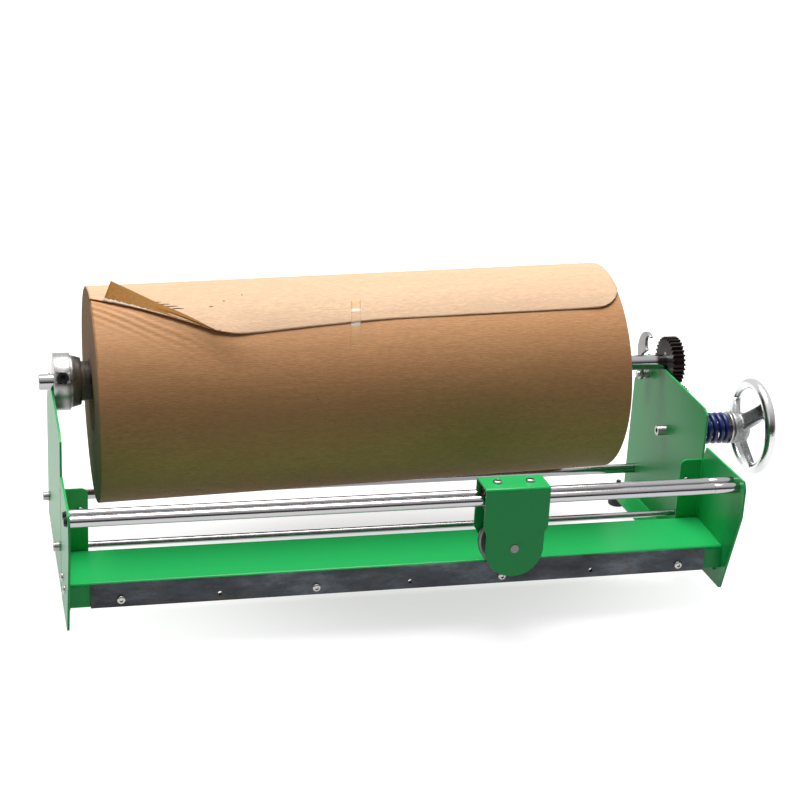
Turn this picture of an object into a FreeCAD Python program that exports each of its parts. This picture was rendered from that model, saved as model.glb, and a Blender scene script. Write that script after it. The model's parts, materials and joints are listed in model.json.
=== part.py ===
import FreeCAD, Part
import math
import os
import Sketcher

# Counter cutter for gift wrap on a roll: two bent side plates carry a mandrel with a
# paper roll, a table with a fixed blade, a wheel cutter on two guide rods, and a
# spring brake geared to the mandrel. Millimetres, +Z up, +X to the brake side.

Vector = FreeCAD.Vector

SIZES = [
    # side plates and wing plates, heights counted from the underside of the frame
    ("frame_half_width", 305.0, "middle to the outer face of a side plate"),
    ("sheet", 2.0, "thickness of the bent sheet"),
    ("bend_radius", 3.0, "outside radius of a bend"),
    ("relief", 2.5, "width of a bend relief notch"),
    ("plate_front", 69.0, "front edge of a side plate behind the wing flange"),
    ("plate_rear", 254.0, "rear edge of a side plate"),
    ("plate_shoulder", 78.0, "where the top edge starts"),
    ("plate_front_height", 148.5, "height of the front edge"),
    ("plate_shoulder_height", 153.0, "height where the top edge starts"),
    ("plate_crown", 225.0, "where the top edge ends"),
    ("plate_crown_height", 158.5, "height where the top edge ends"),
    ("plate_rear_height", 121.0, "height of the rear edge"),
    ("base_flange_width", 25.0, "width of the foot flange"),
    ("side_flange_width", 21.0, "width of a side plate's front flange"),
    ("side_flange_height", 101.0, "top of a side plate's front flange"),
    ("wing_nose", 27.0, "how far a wing reaches in front of its tip"),
    ("wing_nose_low", 84.0, "where the slant ends and the nose starts"),
    ("wing_nose_high", 112.0, "where the nose ends"),
    ("wing_top_front", 23.0, "front end of the wing's top edge, before the tip"),
    ("wing_top", 118.7, "height of a wing"),
    ("wing_top_rear", 62.4, "rear end of the wing's top edge"),
    ("wing_flange_width", 24.0, "width of a wing's flange"),
    ("wing_flange_height", 104.5, "top of a wing's flange"),
    ("wing_corner", 6.0, "radius of the flange's inner top corner"),
    ("tip_radius", 3.0, "rounding of a wing's tip"),
    # feet
    ("foot_height", 16.0, "height of a rubber foot"),
    ("foot_radius", 10.0, "radius of a rubber foot"),
    ("foot_inset", 14.0, "outer face of the plate to a foot's axis"),
    ("foot_front_place", 86.0, "front feet behind the wing's tip"),
    ("foot_rear_place", 240.0, "rear feet behind the wing's tip"),
    ("foot_stud_radius", 2.5, "stud moulded into a foot"),
    ("foot_stud_depth", 10.0, "how deep the stud sits in the rubber"),
    ("foot_stud_length", 21.5, "length of the stud"),
    # table and fixed blade
    ("table_front", 4.0, "outer face of the front lip"),
    ("table_front_height", 42.3, "top of the table at the lip"),
    ("table_rear_height", 45.4, "top of the table at the rear"),
    ("lip_bottom", 20.0, "lower edge of the lip and the blade"),
    ("hem_height", 14.0, "height of the rear hem"),
    ("tab_front", 14.0, "front end of an end tab"),
    ("tab_rear", 60.0, "rear end of an end tab"),
    ("tab_bottom", 13.0, "lower edge of an end tab"),
    ("table_screw_front_place", 25.0, "front table screw behind the wing's tip"),
    ("table_screw_rear_place", 50.0, "rear table screw behind the wing's tip"),
    ("table_screw_height", 28.0, "height of the table screws"),
    ("blade_thickness", 3.0, "thickness of the fixed blade"),
    ("blade_inset", 20.5, "end of the blade to the outer face of a wing"),
    ("blade_top", 41.7, "height of the blade's cutting edge"),
    ("blade_bevel", 0.6, "bevel behind the cutting edge"),
    ("blade_hole_margin", 25.9, "end of the blade to its first hole"),
    ("blade_hole_height", 27.0, "height of the holes in the blade"),
    ("blade_hole_radius", 2.1, "radius of the holes in the blade"),
    # guide rods and tie bars
    ("rod_radius", 5.0, "radius of a guide rod"),
    ("rod_height", 109.3, "height of the guide rods"),
    ("rod_front", 14.0, "front guide rod, before the wing's tip"),
    ("rod_spacing", 13.0, "distance between the guide rods"),
    ("spacer_length", 24.4, "length of the spacer at a rod's brake end"),
    ("rod_bore_depth", 12.0, "depth of a rod's tapped bore"),
    ("rod_chamfer", 0.5, "chamfer on the rods' ends"),
    ("hold_down_radius", 3.0, "radius of the paper rod"),
    ("hold_down_place", 78.0, "paper rod behind the table"),
    ("hold_down_height", 45.1, "height of the paper rod"),
    ("tie_bar_radius", 5.0, "radius of the tie bar"),
    ("tie_bar_place", 233.0, "tie bar at the rear"),
    ("tie_bar_height", 28.0, "height of the tie bar"),
    # mandrel
    ("shaft_place", 187.4, "mandrel axis behind the wing's tip"),
    ("shaft_height", 162.4, "height of the mandrel axis"),
    ("shaft_radius", 7.5, "radius of the mandrel"),
    ("shaft_free_end", 11.0, "how far the mandrel stands out of the plain side"),
    ("shaft_gear_end", 15.5, "how far the mandrel stands out of the brake side"),
    ("shaft_chamfer", 1.0, "chamfer on the mandrel's ends"),
    ("running_gap", 0.05, "radial clearance of a running fit"),
    ("part_gap", 0.3, "clearance between pieces that move past each other"),
    ("collar_radius", 27.0, "radius of a clamping collar"),
    ("collar_width", 15.2, "width of a clamping collar"),
    ("ring_radius", 25.0, "large end of the tapered ring"),
    ("ring_small_radius", 22.0, "small end of the tapered ring"),
    ("ring_width", 10.0, "width of the tapered ring"),
    ("plug_radius", 18.5, "radius of the plain side's plug"),
    ("plug_length", 19.5, "length of the plain side's plug"),
    ("core_plug_radius", 31.7, "radius of the brake side's core plug"),
    ("core_plug_length", 14.0, "length of the brake side's core plug"),
    ("set_screw_radius", 5.0, "radius of a collar's set screw"),
    ("set_screw_proud", 4.0, "how far a set screw stands out of its collar"),
    # paper roll
    ("roll_radius", 101.3, "radius of the paper roll"),
    ("roll_gap_left", 35.0, "inner face of the plain plate to the roll"),
    ("roll_gap_right", 71.0, "inner face of the brake side's plate to the roll"),
    ("roll_drop_left", 14.2, "how far the core hangs below the mandrel, plain end"),
    ("roll_drop_right", 0.5, "how far the core hangs below the mandrel, brake end"),
    ("core_radius", 36.0, "outside radius of the core tube"),
    ("core_wall", 3.0, "wall of the core tube"),
    ("flap_thickness", 1.2, "thickness of the loose outer turn"),
    ("flap_lift", 0.15, "how far the loose turn stands off the roll"),
    ("flap_front_angle", 38.5, "front edge of the loose turn, from the top"),
    ("flap_corner_length", 103.0, "folded corner, along the roll"),
    ("flap_corner_depth", 46.0, "folded corner, round the roll"),
    ("flap_rear_angle", 20.0, "rear end of the loose turn, from the top"),
    # gears and brake
    ("gear_module", 1.5, "module of both gears"),
    ("shaft_teeth", 32, "teeth of the mandrel's gear"),
    ("brake_teeth", 60, "teeth of the brake's gear"),
    ("mesh_gap", 0.1, "extra distance between the gear axes"),
    ("tooth_gap", 0.16, "flank clearance of one tooth"),
    ("gear_width", 12.5, "width of the mandrel's gear"),
    ("gear_offset", 0.5, "outer face of the plate to the mandrel's gear"),
    ("brake_forward", 25.4, "brake axis in front of the mandrel axis"),
    ("key_side", 5.0, "side of the square key"),
    ("circlip_radius", 10.5, "radius of the retaining ring"),
    ("circlip_width", 1.2, "width of the retaining ring"),
    ("stud_radius", 5.0, "radius of the brake stud"),
    ("stud_inside", 9.3, "how far the stud stands out on the roll's side"),
    ("disc_radius", 30.0, "radius of a friction disc"),
    ("disc_thickness", 2.0, "thickness of a friction disc"),
    ("gear_side_gap", 0.25, "clearance between the brake gear and a disc"),
    ("brake_gear_width", 12.4, "width of the brake gear"),
    ("bush_radius", 8.0, "outside radius of the brake gear's bush"),
    ("pressure_plate_radius", 24.0, "radius of the pressure plate"),
    ("pressure_plate_thickness", 4.0, "thickness of the pressure plate"),
    ("spring_radius", 16.0, "outside radius of the brake spring"),
    ("spring_wire", 5.4, "diameter of the spring's wire"),
    ("spring_length", 43.9, "length of the spring as set"),
    ("spring_turns", 6, "turns of the spring"),
    ("dead_turn_pitch", 6.0, "pitch of the closed turn at each end"),
    ("thrust_washer_radius", 16.5, "radius of the thrust washer"),
    ("thrust_washer_thickness", 2.0, "thickness of the thrust washer"),
    # handwheel
    ("wheel_rim_radius", 44.0, "radius of the rim's centre line"),
    ("wheel_rim_section", 5.6, "radius of the rim's section"),
    ("wheel_rim_offset", 25.5, "hub's inner face to the rim's centre"),
    ("hub_radius", 16.0, "radius of the handwheel's hub"),
    ("hub_length", 18.0, "length of the handwheel's hub"),
    ("spoke_width", 15.0, "width of a spoke"),
    ("spoke_thickness", 7.0, "thickness of a spoke"),
    ("spoke_edge", 2.0, "rounding of a spoke's long edges"),
    ("spoke_angle", 16.0, "first spoke above the rearward line"),
    # latch
    ("latch_place", 220.0, "latch pivot behind the wing's tip"),
    ("latch_height", 138.7, "height of the latch pivot"),
    ("latch_open_angle", 32.0, "how far the latch stands open"),
    ("latch_thickness", 3.0, "thickness of the latch"),
    ("latch_offset", 6.8, "inner face of the plate to the latch"),
    ("latch_eye_radius", 6.0, "radius of the latch's eye"),
    ("latch_tip_wall", 1.5, "width of the latch at its tip"),
    ("latch_back", 20.0, "middle of the mandrel to the latch's back edge"),
    ("latch_pin_radius", 3.0, "radius of the latch's pivot bolt"),
    ("latch_pin_proud", 2.8, "how far the pivot bolt passes the latch"),
    # carriage
    ("carriage_place", 88.0, "middle of the carriage from the frame's middle"),
    ("carriage_half_width", 30.0, "half the width of the housing"),
    ("housing_depth", 31.4, "depth of the housing"),
    ("housing_height", 123.3, "height of the housing's top"),
    ("housing_waist", 86.0, "where the front plate narrows"),
    ("housing_waist_end", 79.0, "where the front plate stops narrowing"),
    ("housing_round", 27.0, "radius of the front plate's round end"),
    ("housing_rear_waist", 76.0, "where the rear plate narrows"),
    ("housing_rear_bottom", 50.0, "lower edge of the rear plate"),
    ("housing_rear_half_width", 15.0, "half the width of the rear plate's lower edge"),
    ("axle_height", 64.8, "height of the cutter's axle"),
    ("axle_radius", 4.0, "radius of the cutter's axle"),
    ("axle_spacer_radius", 6.0, "radius of the spacers on the axle"),
    ("cutter_radius", 27.5, "radius of the cutter wheel"),
    ("cutter_thickness", 5.0, "thickness of the cutter wheel"),
    ("cutter_bevel", 1.5, "bevel of the cutter wheel"),
    ("cutter_gap", 0.3, "clearance from the cutter wheel to the blade"),
    ("bearing_radius", 8.0, "outside radius of the cutter's bearing"),
    ("block_length", 52.0, "length of the slider block"),
    ("block_height", 24.0, "height of the slider block"),
    ("slider_bush_radius", 6.0, "outside radius of a slider bush"),
    ("slider_bush_length", 12.0, "length of a slider bush"),
    ("housing_screw_spacing", 30.6, "distance between the housing screws"),
    # fasteners
    ("m4_radius", 2.0, "shank radius of the small screws"),
    ("m5_radius", 2.5, "shank radius of the larger screws"),
    ("hole_gap", 0.1, "radial clearance of a screw hole"),
    ("blade_head_radius", 3.9, "head of a blade screw"),
    ("blade_head_height", 2.3, "height of a blade screw's head"),
    ("cap_head_radius", 4.4, "head of a cap screw"),
    ("cap_head_height", 6.2, "height of a cap screw's head"),
    ("rod_head_radius", 4.4, "head of a guide rod screw"),
    ("rod_head_height", 2.8, "height of a guide rod screw's head"),
    ("nut_height", 3.2, "height of a small nut"),
    ("nut_radius", 4.0, "corner radius of a small nut"),
    ("flange_screw_inset", 17.1, "outer face of the plate to the flange screws"),
    ("flange_screw_high", 83.5, "upper flange screws"),
    ("flange_screw_low", 22.0, "lower flange screws"),
]

BLADE_HOLES = 7
SPOKES = 3
SHAFT_TO_KEY = 0.5


class Size:
    """A size of the sheet, or what is worked out from sizes: expression and value."""

    def __init__(self, text, value):
        self.text = text
        self.value = value

    def joined(self, other, sign, value):
        return Size("(%s %s %s)" % (self.text, sign, text_of(other)), value)

    def __add__(self, other):
        return self.joined(other, "+", self.value + value_of(other))

    def __sub__(self, other):
        return self.joined(other, "-", self.value - value_of(other))

    def __mul__(self, other):
        return self.joined(other, "*", self.value * value_of(other))

    def __truediv__(self, other):
        return self.joined(other, "/", self.value / value_of(other))

    def __neg__(self):
        return self * -1.0


def value_of(amount):
    return amount.value if isinstance(amount, Size) else float(amount)


def text_of(amount):
    return amount.text if isinstance(amount, Size) else "(%r)" % float(amount)


def root_of(amount):
    return Size("sqrt(%s)" % amount.text, math.sqrt(amount.value))


def vector(x, y, z):
    return Vector(value_of(x), value_of(y), value_of(z))


doc = FreeCAD.newDocument("PaperCutter")
sheet = doc.addObject("Spreadsheet::Sheet", "Sizes")


def fill_sheet():
    table = {}
    for row, (alias, value, meaning) in enumerate(SIZES, start=1):
        sheet.set("A%d" % row, meaning)
        sheet.set("B%d" % row, str(value))
        sheet.setAlias("B%d" % row, alias)
        table[alias] = Size("Sizes." + alias, float(value))
    doc.recompute()
    return table


S = fill_sheet()


def bind(thing, name, amount):
    """Sets a property, and ties it to the sheet where the amount comes from there."""
    if isinstance(amount, Size):
        thing.setExpression(name, amount.text)


# Derived places, shared by several pieces

base = S["foot_height"]
half_width = S["frame_half_width"]
inner_face = half_width - S["sheet"]
flange_front = S["plate_front"] - S["sheet"]
shaft_y = S["shaft_place"]
shaft_z = base + S["shaft_height"]
rod_z = base + S["rod_height"]
rod_ys = (-S["rod_front"], S["rod_spacing"] - S["rod_front"])
axle_z = base + S["axle_height"]
blade_face = S["table_front"] - S["blade_thickness"]
cutter_rear = blade_face - S["cutter_gap"]
cutter_front = cutter_rear - S["cutter_thickness"]
axis_gap = S["gear_module"] * (S["shaft_teeth"] + S["brake_teeth"]) / 2 + S["mesh_gap"]
brake_drop = root_of(axis_gap * axis_gap - S["brake_forward"] * S["brake_forward"])
brake_y = shaft_y - S["brake_forward"]
brake_z = shaft_z - brake_drop
disc_outer_start = half_width + S["disc_thickness"] + S["brake_gear_width"] + S["gear_side_gap"] * 2
plate_start = disc_outer_start + S["disc_thickness"]
spring_start = plate_start + S["pressure_plate_thickness"]
washer_start = spring_start + S["spring_length"]
hub_start = washer_start + S["thrust_washer_thickness"] + S["part_gap"]
rim_x = hub_start + S["wheel_rim_offset"]
latch_start = inner_face - S["latch_offset"] - S["latch_thickness"]
roll_left = inner_face - S["roll_gap_left"]
roll_right = inner_face - S["roll_gap_right"]
roll_length = roll_left + roll_right
housing_middle = -S["rod_front"] + S["rod_spacing"] / 2
housing_front = housing_middle - S["housing_depth"] / 2
housing_rear = housing_middle + S["housing_depth"] / 2
housing_top = base + S["housing_height"]

# The origin lies under the middle of the whole object's box

low_x = -half_width - S["shaft_free_end"]
high_x = rim_x + S["wheel_rim_section"]
low_y = -S["wing_nose"]
high_y = shaft_y + S["roll_radius"]
shift_x = -(low_x + high_x) / 2
shift_y = -(low_y + high_y) / 2

TURNS = {
    "+x": (Vector(0, 1, 0), 90.0),
    "-x": (Vector(0, 1, 0), -90.0),
    "+y": (Vector(1, 0, 0), -90.0),
    "-y": (Vector(1, 0, 0), 90.0),
    "+z": (Vector(0, 0, 1), 0.0),
    "-z": (Vector(1, 0, 0), 180.0),
}

homes = {}
sub_parts = []


def place(thing, x, y, z, turn=None):
    """Puts a thing at a place given in sizes, turned by an axis and an angle."""
    axis, angle = turn if turn else TURNS["+z"]
    rotation = FreeCAD.Rotation(axis, angle)
    thing.Placement = FreeCAD.Placement(vector(x, y, z), rotation)
    for name, amount in (("x", x), ("y", y), ("z", z)):
        bind(thing, "Placement.Base." + name, amount)
    homes[thing.Name] = (x, y)
    return thing


def keep(thing, label):
    """Makes a thing a sub-part: it gets its label and moves to the shared origin."""
    thing.Label = label
    x, y = homes.get(thing.Name, (0.0, 0.0))
    thing.Placement.Base.x = value_of(shift_x + x)
    thing.Placement.Base.y = value_of(shift_y + y)
    bind(thing, "Placement.Base.x", shift_x + x)
    bind(thing, "Placement.Base.y", shift_y + y)
    sub_parts.append(thing)
    return thing


# Primitives and booleans


def cylinder(name, radius, height, x=0.0, y=0.0, z=0.0, turn="+z"):
    thing = doc.addObject("Part::Cylinder", name)
    thing.Radius = value_of(radius)
    thing.Height = value_of(height)
    bind(thing, "Radius", radius)
    bind(thing, "Height", height)
    return place(thing, x, y, z, TURNS[turn])


def cone(name, radius, end_radius, height, x=0.0, y=0.0, z=0.0, turn="+z"):
    thing = doc.addObject("Part::Cone", name)
    thing.Radius1 = value_of(radius)
    thing.Radius2 = value_of(end_radius)
    thing.Height = value_of(height)
    bind(thing, "Radius1", radius)
    bind(thing, "Radius2", end_radius)
    bind(thing, "Height", height)
    return place(thing, x, y, z, TURNS[turn])


def block(name, length, width, height, x, y, z):
    thing = doc.addObject("Part::Box", name)
    thing.Length = value_of(length)
    thing.Width = value_of(width)
    thing.Height = value_of(height)
    bind(thing, "Length", length)
    bind(thing, "Width", width)
    bind(thing, "Height", height)
    return place(thing, x, y, z)


def hexagon(name, radius, height, z=0.0):
    thing = doc.addObject("Part::Prism", name)
    thing.Polygon = 6
    thing.Circumradius = value_of(radius)
    thing.Height = value_of(height)
    bind(thing, "Circumradius", radius)
    bind(thing, "Height", height)
    return place(thing, 0.0, 0.0, z)


def joined(name, things):
    thing = doc.addObject("Part::MultiFuse", name)
    thing.Shapes = things
    return thing


def less(name, body, tool):
    thing = doc.addObject("Part::Cut", name)
    thing.Base = body
    thing.Tool = tool
    return thing


def group(name, things):
    thing = doc.addObject("Part::Compound", name)
    thing.Links = things
    return thing


def ring(name, radius, bore, height, x, y, z, turn="+x"):
    """A disc or tube with a bore, from its near face along its axis."""
    outer = cylinder(name + "_outer", radius, height)
    hole = cylinder(name + "_hole", bore, height)
    return place(less(name, outer, hole), x, y, z, TURNS[turn])


def screw(name, at, turn, shank, length, head, head_height, top=0.75):
    """A screw with a hexagon socket; its head's seat is at the given point."""
    stem = cylinder(name + "_shank", shank, length, z=-length)
    cap = cone(name + "_head", head, head * top, head_height)
    solid = joined(name + "_solid", [stem, cap])
    socket = hexagon(name + "_socket", head * 0.45, head_height, head_height * 0.4)
    return place(less(name, solid, socket), at[0], at[1], at[2], TURNS[turn])


def nut(name, at, turn, radius, bore, height):
    solid = hexagon(name + "_hexagon", radius, height)
    hole = cylinder(name + "_hole", bore, height)
    return place(less(name, solid, hole), at[0], at[1], at[2], TURNS[turn])


# Sketches, pads and pockets of the bent sheet pieces


def new_body(name):
    return doc.addObject("PartDesign::Body", name)


def new_sketch(body, role, offset):
    """A sketch on one of the body's own planes, moved along the plane's normal."""
    support = [item for item in body.Origin.OriginFeatures if item.Role == role][0]
    sketch = body.newObject("Sketcher::SketchObject", body.Name + "_sketch")
    sketch.AttachmentSupport = [(support, "")]
    sketch.MapMode = "FlatFace"
    sketch.AttachmentOffset = FreeCAD.Placement(vector(0, 0, offset), FreeCAD.Rotation())
    bind(sketch, "AttachmentOffset.Base.z", offset)
    return sketch


def pin_point(sketch, item, end, corner):
    """Ties one point of a sketch to its two coordinates."""
    for kind, amount in (("DistanceX", corner[0]), ("DistanceY", corner[1])):
        number = value_of(amount)
        index = sketch.addConstraint(Sketcher.Constraint(kind, -1, 1, item, end, number))
        if isinstance(amount, Size):
            sketch.setExpression("Constraints[%d]" % index, amount.text)


def draw_outline(sketch, corners):
    count = len(corners)
    for index in range(count):
        start = vector(corners[index][0], corners[index][1], 0)
        end_corner = corners[(index + 1) % count]
        sketch.addGeometry(Part.LineSegment(start, vector(end_corner[0], end_corner[1], 0)))
    for index in range(count):
        following = (index + 1) % count
        sketch.addConstraint(Sketcher.Constraint("Coincident", index, 2, following, 1))
        pin_point(sketch, index, 1, corners[index])


def draw_circles(sketch, centres, radius):
    for index, centre in enumerate(centres):
        middle = vector(centre[0], centre[1], 0)
        sketch.addGeometry(Part.Circle(middle, Vector(0, 0, 1), value_of(radius)))
        pin_point(sketch, index, 3, centre)
        limit = Sketcher.Constraint("Radius", index, value_of(radius))
        number = sketch.addConstraint(limit)
        sketch.setExpression("Constraints[%d]" % number, radius.text)


def pad(body, sketch, length):
    thing = body.newObject("PartDesign::Pad", body.Name + "_pad")
    thing.Profile = sketch
    thing.Length = value_of(length)
    bind(thing, "Length", length)
    return thing


def pocket_through(body, sketch):
    thing = body.newObject("PartDesign::Pocket", body.Name + "_pocket")
    thing.Profile = sketch
    thing.Type = "ThroughAll"
    thing.Midplane = True
    return thing


def pad_outline(body, role, corners, start, length):
    """A plate of a given outline. The XZ plane's normal points forward."""
    offset = -(start + length) if role == "XZ_Plane" else start
    sketch = new_sketch(body, role, offset)
    draw_outline(sketch, corners)
    return pad(body, sketch, length)


def pad_disc(body, role, centre, radius, start, length):
    offset = -(start + length) if role == "XZ_Plane" else start
    sketch = new_sketch(body, role, offset)
    draw_circles(sketch, [centre], radius)
    return pad(body, sketch, length)


def drill(body, role, centres, radius):
    sketch = new_sketch(body, role, 0.0)
    draw_circles(sketch, centres, radius)
    return pocket_through(body, sketch)


def notch(body, role, corners):
    sketch = new_sketch(body, role, 0.0)
    draw_outline(sketch, corners)
    return pocket_through(body, sketch)


def edges_at(shape, points):
    """Names of the straight edges that pass through the given points."""
    names = []
    for point in points:
        vertex = Part.Vertex(point)
        for index, edge in enumerate(shape.Edges, start=1):
            ends = min(edge.Vertexes[0].Point.distanceToPoint(point),
                       edge.Vertexes[-1].Point.distanceToPoint(point))
            if edge.distToShape(vertex)[0] < 0.001 and ends > 0.01:
                names.append("Edge%d" % index)
    return names


def round_edges(body, radius, points):
    """Fillets the edges of the body's last feature that pass through the points."""
    doc.recompute()
    last = body.Tip
    names = edges_at(last.Shape, points)
    thing = body.newObject("PartDesign::Fillet", body.Name + "_fillet")
    thing.Base = (last, names)
    thing.Radius = value_of(radius)
    bind(thing, "Radius", radius)
    return thing


def bend(body, outer_points, inner_points):
    round_edges(body, S["bend_radius"], outer_points)
    round_edges(body, S["bend_radius"] - S["sheet"], inner_points)


def span(side, near, far):
    """Low and high X of something between two distances from the middle, on one side."""
    return (near, far) if side > 0 else (-far, -near)


def rectangle(low_1, low_2, high_1, high_2):
    return [(low_1, low_2), (high_1, low_2), (high_1, high_2), (low_1, high_2)]


def make_side_plate(side, label):
    """Bent side plate: web, foot flange and front flange, with corner reliefs."""
    body = new_body(label)
    cut = S["relief"] + S["sheet"]
    front = S["plate_front"]
    rear = S["plate_rear"]
    low = base + cut
    outline = [
        (front + cut, base), (rear, base), (rear, base + S["plate_rear_height"]),
        (S["plate_crown"], base + S["plate_crown_height"]),
        (S["plate_shoulder"], base + S["plate_shoulder_height"]),
        (front, base + S["plate_front_height"]), (front, low), (front + cut, low),
    ]
    web = span(side, inner_face, half_width)
    pad_outline(body, "YZ_Plane", outline, web[0], S["sheet"])
    foot = span(side, half_width - S["base_flange_width"], half_width)
    pad_outline(body, "XY_Plane", rectangle(foot[0], front + cut, foot[1], rear), base, S["sheet"])
    flange = span(side, half_width - S["side_flange_width"], half_width)
    flange_top = base + S["side_flange_height"]
    pad_outline(body, "XZ_Plane", rectangle(flange[0], low, flange[1], flange_top), front, S["sheet"])
    slot = rectangle(front - 1.0, flange_top, front + cut, flange_top + S["relief"])
    notch(body, "YZ_Plane", slot)
    outside = half_width * side
    inside = inner_face * side
    middle_y = (front + rear) / 2
    middle_z = (low + flange_top) / 2
    bend(
        body,
        [vector(outside, middle_y, base), vector(outside, front, middle_z)],
        [vector(inside, middle_y, base + S["sheet"]), vector(inside, front + S["sheet"], middle_z)],
    )
    drill(body, "YZ_Plane", [(shaft_y, shaft_z)], S["shaft_radius"] + S["running_gap"])
    tie = (S["tie_bar_place"], base + S["tie_bar_height"])
    drill(body, "YZ_Plane", [tie], S["m5_radius"] + S["hole_gap"])
    paper_rod = (S["hold_down_place"], base + S["hold_down_height"])
    drill(body, "YZ_Plane", [paper_rod], S["m4_radius"] + S["hole_gap"])
    if side > 0:
        drill(body, "YZ_Plane", [(brake_y, brake_z)], S["stud_radius"])
        pivot = (S["latch_place"], base + S["latch_height"])
        drill(body, "YZ_Plane", [pivot], S["latch_pin_radius"] + S["hole_gap"])
    foot_x = (half_width - S["foot_inset"]) * side
    feet = [(foot_x, S["foot_front_place"]), (foot_x, S["foot_rear_place"])]
    drill(body, "XY_Plane", feet, S["foot_stud_radius"] + S["hole_gap"])
    screw_x = (half_width - S["flange_screw_inset"]) * side
    screws = [(screw_x, base + S["flange_screw_high"]), (screw_x, base + S["flange_screw_low"])]
    drill(body, "XZ_Plane", screws, S["m4_radius"] + S["hole_gap"])
    return keep(body, label)


def make_wing_plate(side, label):
    """Bent wing plate in front: web with a pointed nose, and the rear flange."""
    body = new_body(label)
    cut = S["relief"]
    rear = flange_front + S["sheet"]
    low = base + cut
    high = base + S["wing_flange_height"]
    outline = [
        (Size("0", 0.0), base), (rear - S["bend_radius"], base), (rear - S["bend_radius"], low),
        (rear, low), (rear, high), (rear - S["bend_radius"], high),
        (rear - S["bend_radius"], high + cut),
        (S["wing_top_rear"] + cut, base + S["wing_nose_high"]),
        (S["wing_top_rear"], base + S["wing_top"]), (-S["wing_top_front"], base + S["wing_top"]),
        (-S["wing_nose"], base + S["wing_nose_high"]), (-S["wing_nose"], base + S["wing_nose_low"]),
    ]
    web = span(side, inner_face, half_width)
    pad_outline(body, "YZ_Plane", outline, web[0], S["sheet"])
    flange = span(side, half_width - S["wing_flange_width"], half_width)
    pad_outline(body, "XZ_Plane", rectangle(flange[0], low, flange[1], high), flange_front, S["sheet"])
    outside = half_width * side
    middle_z = (low + high) / 2
    bend(
        body,
        [vector(outside, rear, middle_z)],
        [vector(inner_face * side, flange_front, middle_z)],
    )
    corner = (half_width - S["wing_flange_width"]) * side
    round_edges(body, S["wing_corner"], [vector(corner, flange_front + S["sheet"] / 2, high)])
    middle_x = (half_width - S["sheet"] / 2) * side
    round_edges(body, S["tip_radius"], [vector(middle_x, 0, base)])
    rods = [(rod_ys[0], rod_z), (rod_ys[1], rod_z)]
    drill(body, "YZ_Plane", rods, S["m5_radius"] + S["hole_gap"])
    screw_z = base + S["table_screw_height"]
    table = [(S["table_screw_front_place"], screw_z), (S["table_screw_rear_place"], screw_z)]
    drill(body, "YZ_Plane", table, S["m4_radius"] + S["hole_gap"])
    screw_x = (half_width - S["flange_screw_inset"]) * side
    screws = [(screw_x, base + S["flange_screw_high"]), (screw_x, base + S["flange_screw_low"])]
    drill(body, "XZ_Plane", screws, S["m4_radius"] + S["hole_gap"])
    return keep(body, label)


def blade_hole_places():
    """X of the seven holes along the lip, from left to right."""
    middle = (BLADE_HOLES - 1) / 2
    pitch = (half_width - S["blade_inset"] - S["blade_hole_margin"]) / middle
    return [pitch * (index - middle) for index in range(BLADE_HOLES)]


def make_table():
    """Cutting table: bent sheet with a front lip, a rear hem and an end tab each side."""
    body = new_body("cutting_table")
    thin = S["sheet"]
    front = S["table_front"]
    rear = flange_front
    top_front = base + S["table_front_height"]
    top_rear = base + S["table_rear_height"]
    hem = top_rear - S["hem_height"]
    outline = [
        (front, base + S["lip_bottom"]), (front + thin, base + S["lip_bottom"]),
        (front + thin, top_front - thin), (rear - thin, top_rear - thin), (rear - thin, hem),
        (rear, hem), (rear, top_rear), (front, top_front),
    ]
    pad_outline(body, "YZ_Plane", outline, -inner_face, inner_face * 2)
    tab = [
        (S["tab_front"], base + S["tab_bottom"]), (S["tab_rear"], base + S["tab_bottom"]),
        (S["tab_rear"], top_front - thin / 2), (S["tab_front"], top_front - thin / 2),
    ]
    for start in (-inner_face, inner_face - thin):
        pad_outline(body, "YZ_Plane", tab, start, thin)
    bend(
        body,
        [vector(0, front, top_front), vector(0, rear, top_rear)],
        [vector(0, front + thin, top_front - thin), vector(0, rear - thin, top_rear - thin)],
    )
    lip_holes = [(x, base + S["blade_hole_height"]) for x in blade_hole_places()]
    sketch = new_sketch(body, "XZ_Plane", -(front + thin + 1.0))
    draw_circles(sketch, lip_holes, S["blade_hole_radius"])
    thing = body.newObject("PartDesign::Pocket", "lip_holes")
    thing.Profile = sketch
    thing.Type = "Length"
    thing.Length = value_of(thin + 2.0)
    thing.Reversed = True
    bind(thing, "Length", thin + 2.0)
    screw_z = base + S["table_screw_height"]
    screws = [(S["table_screw_front_place"], screw_z), (S["table_screw_rear_place"], screw_z)]
    drill(body, "YZ_Plane", screws, S["m4_radius"])
    return keep(body, "cutting_table")


def make_blade():
    """Fixed blade: a flat bar on the lip, with a small bevel behind its edge."""
    body = new_body("fixed_blade")
    half = half_width - S["blade_inset"]
    top = base + S["blade_top"]
    rear = blade_face + S["blade_thickness"]
    outline = [
        (blade_face, base + S["lip_bottom"]), (rear, base + S["lip_bottom"]),
        (rear, top - S["blade_bevel"]), (rear - S["blade_bevel"], top), (blade_face, top),
    ]
    pad_outline(body, "YZ_Plane", outline, -half, half * 2)
    holes = [(x, base + S["blade_hole_height"]) for x in blade_hole_places()]
    drill(body, "XZ_Plane", holes, S["blade_hole_radius"])
    return keep(body, "fixed_blade")


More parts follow.
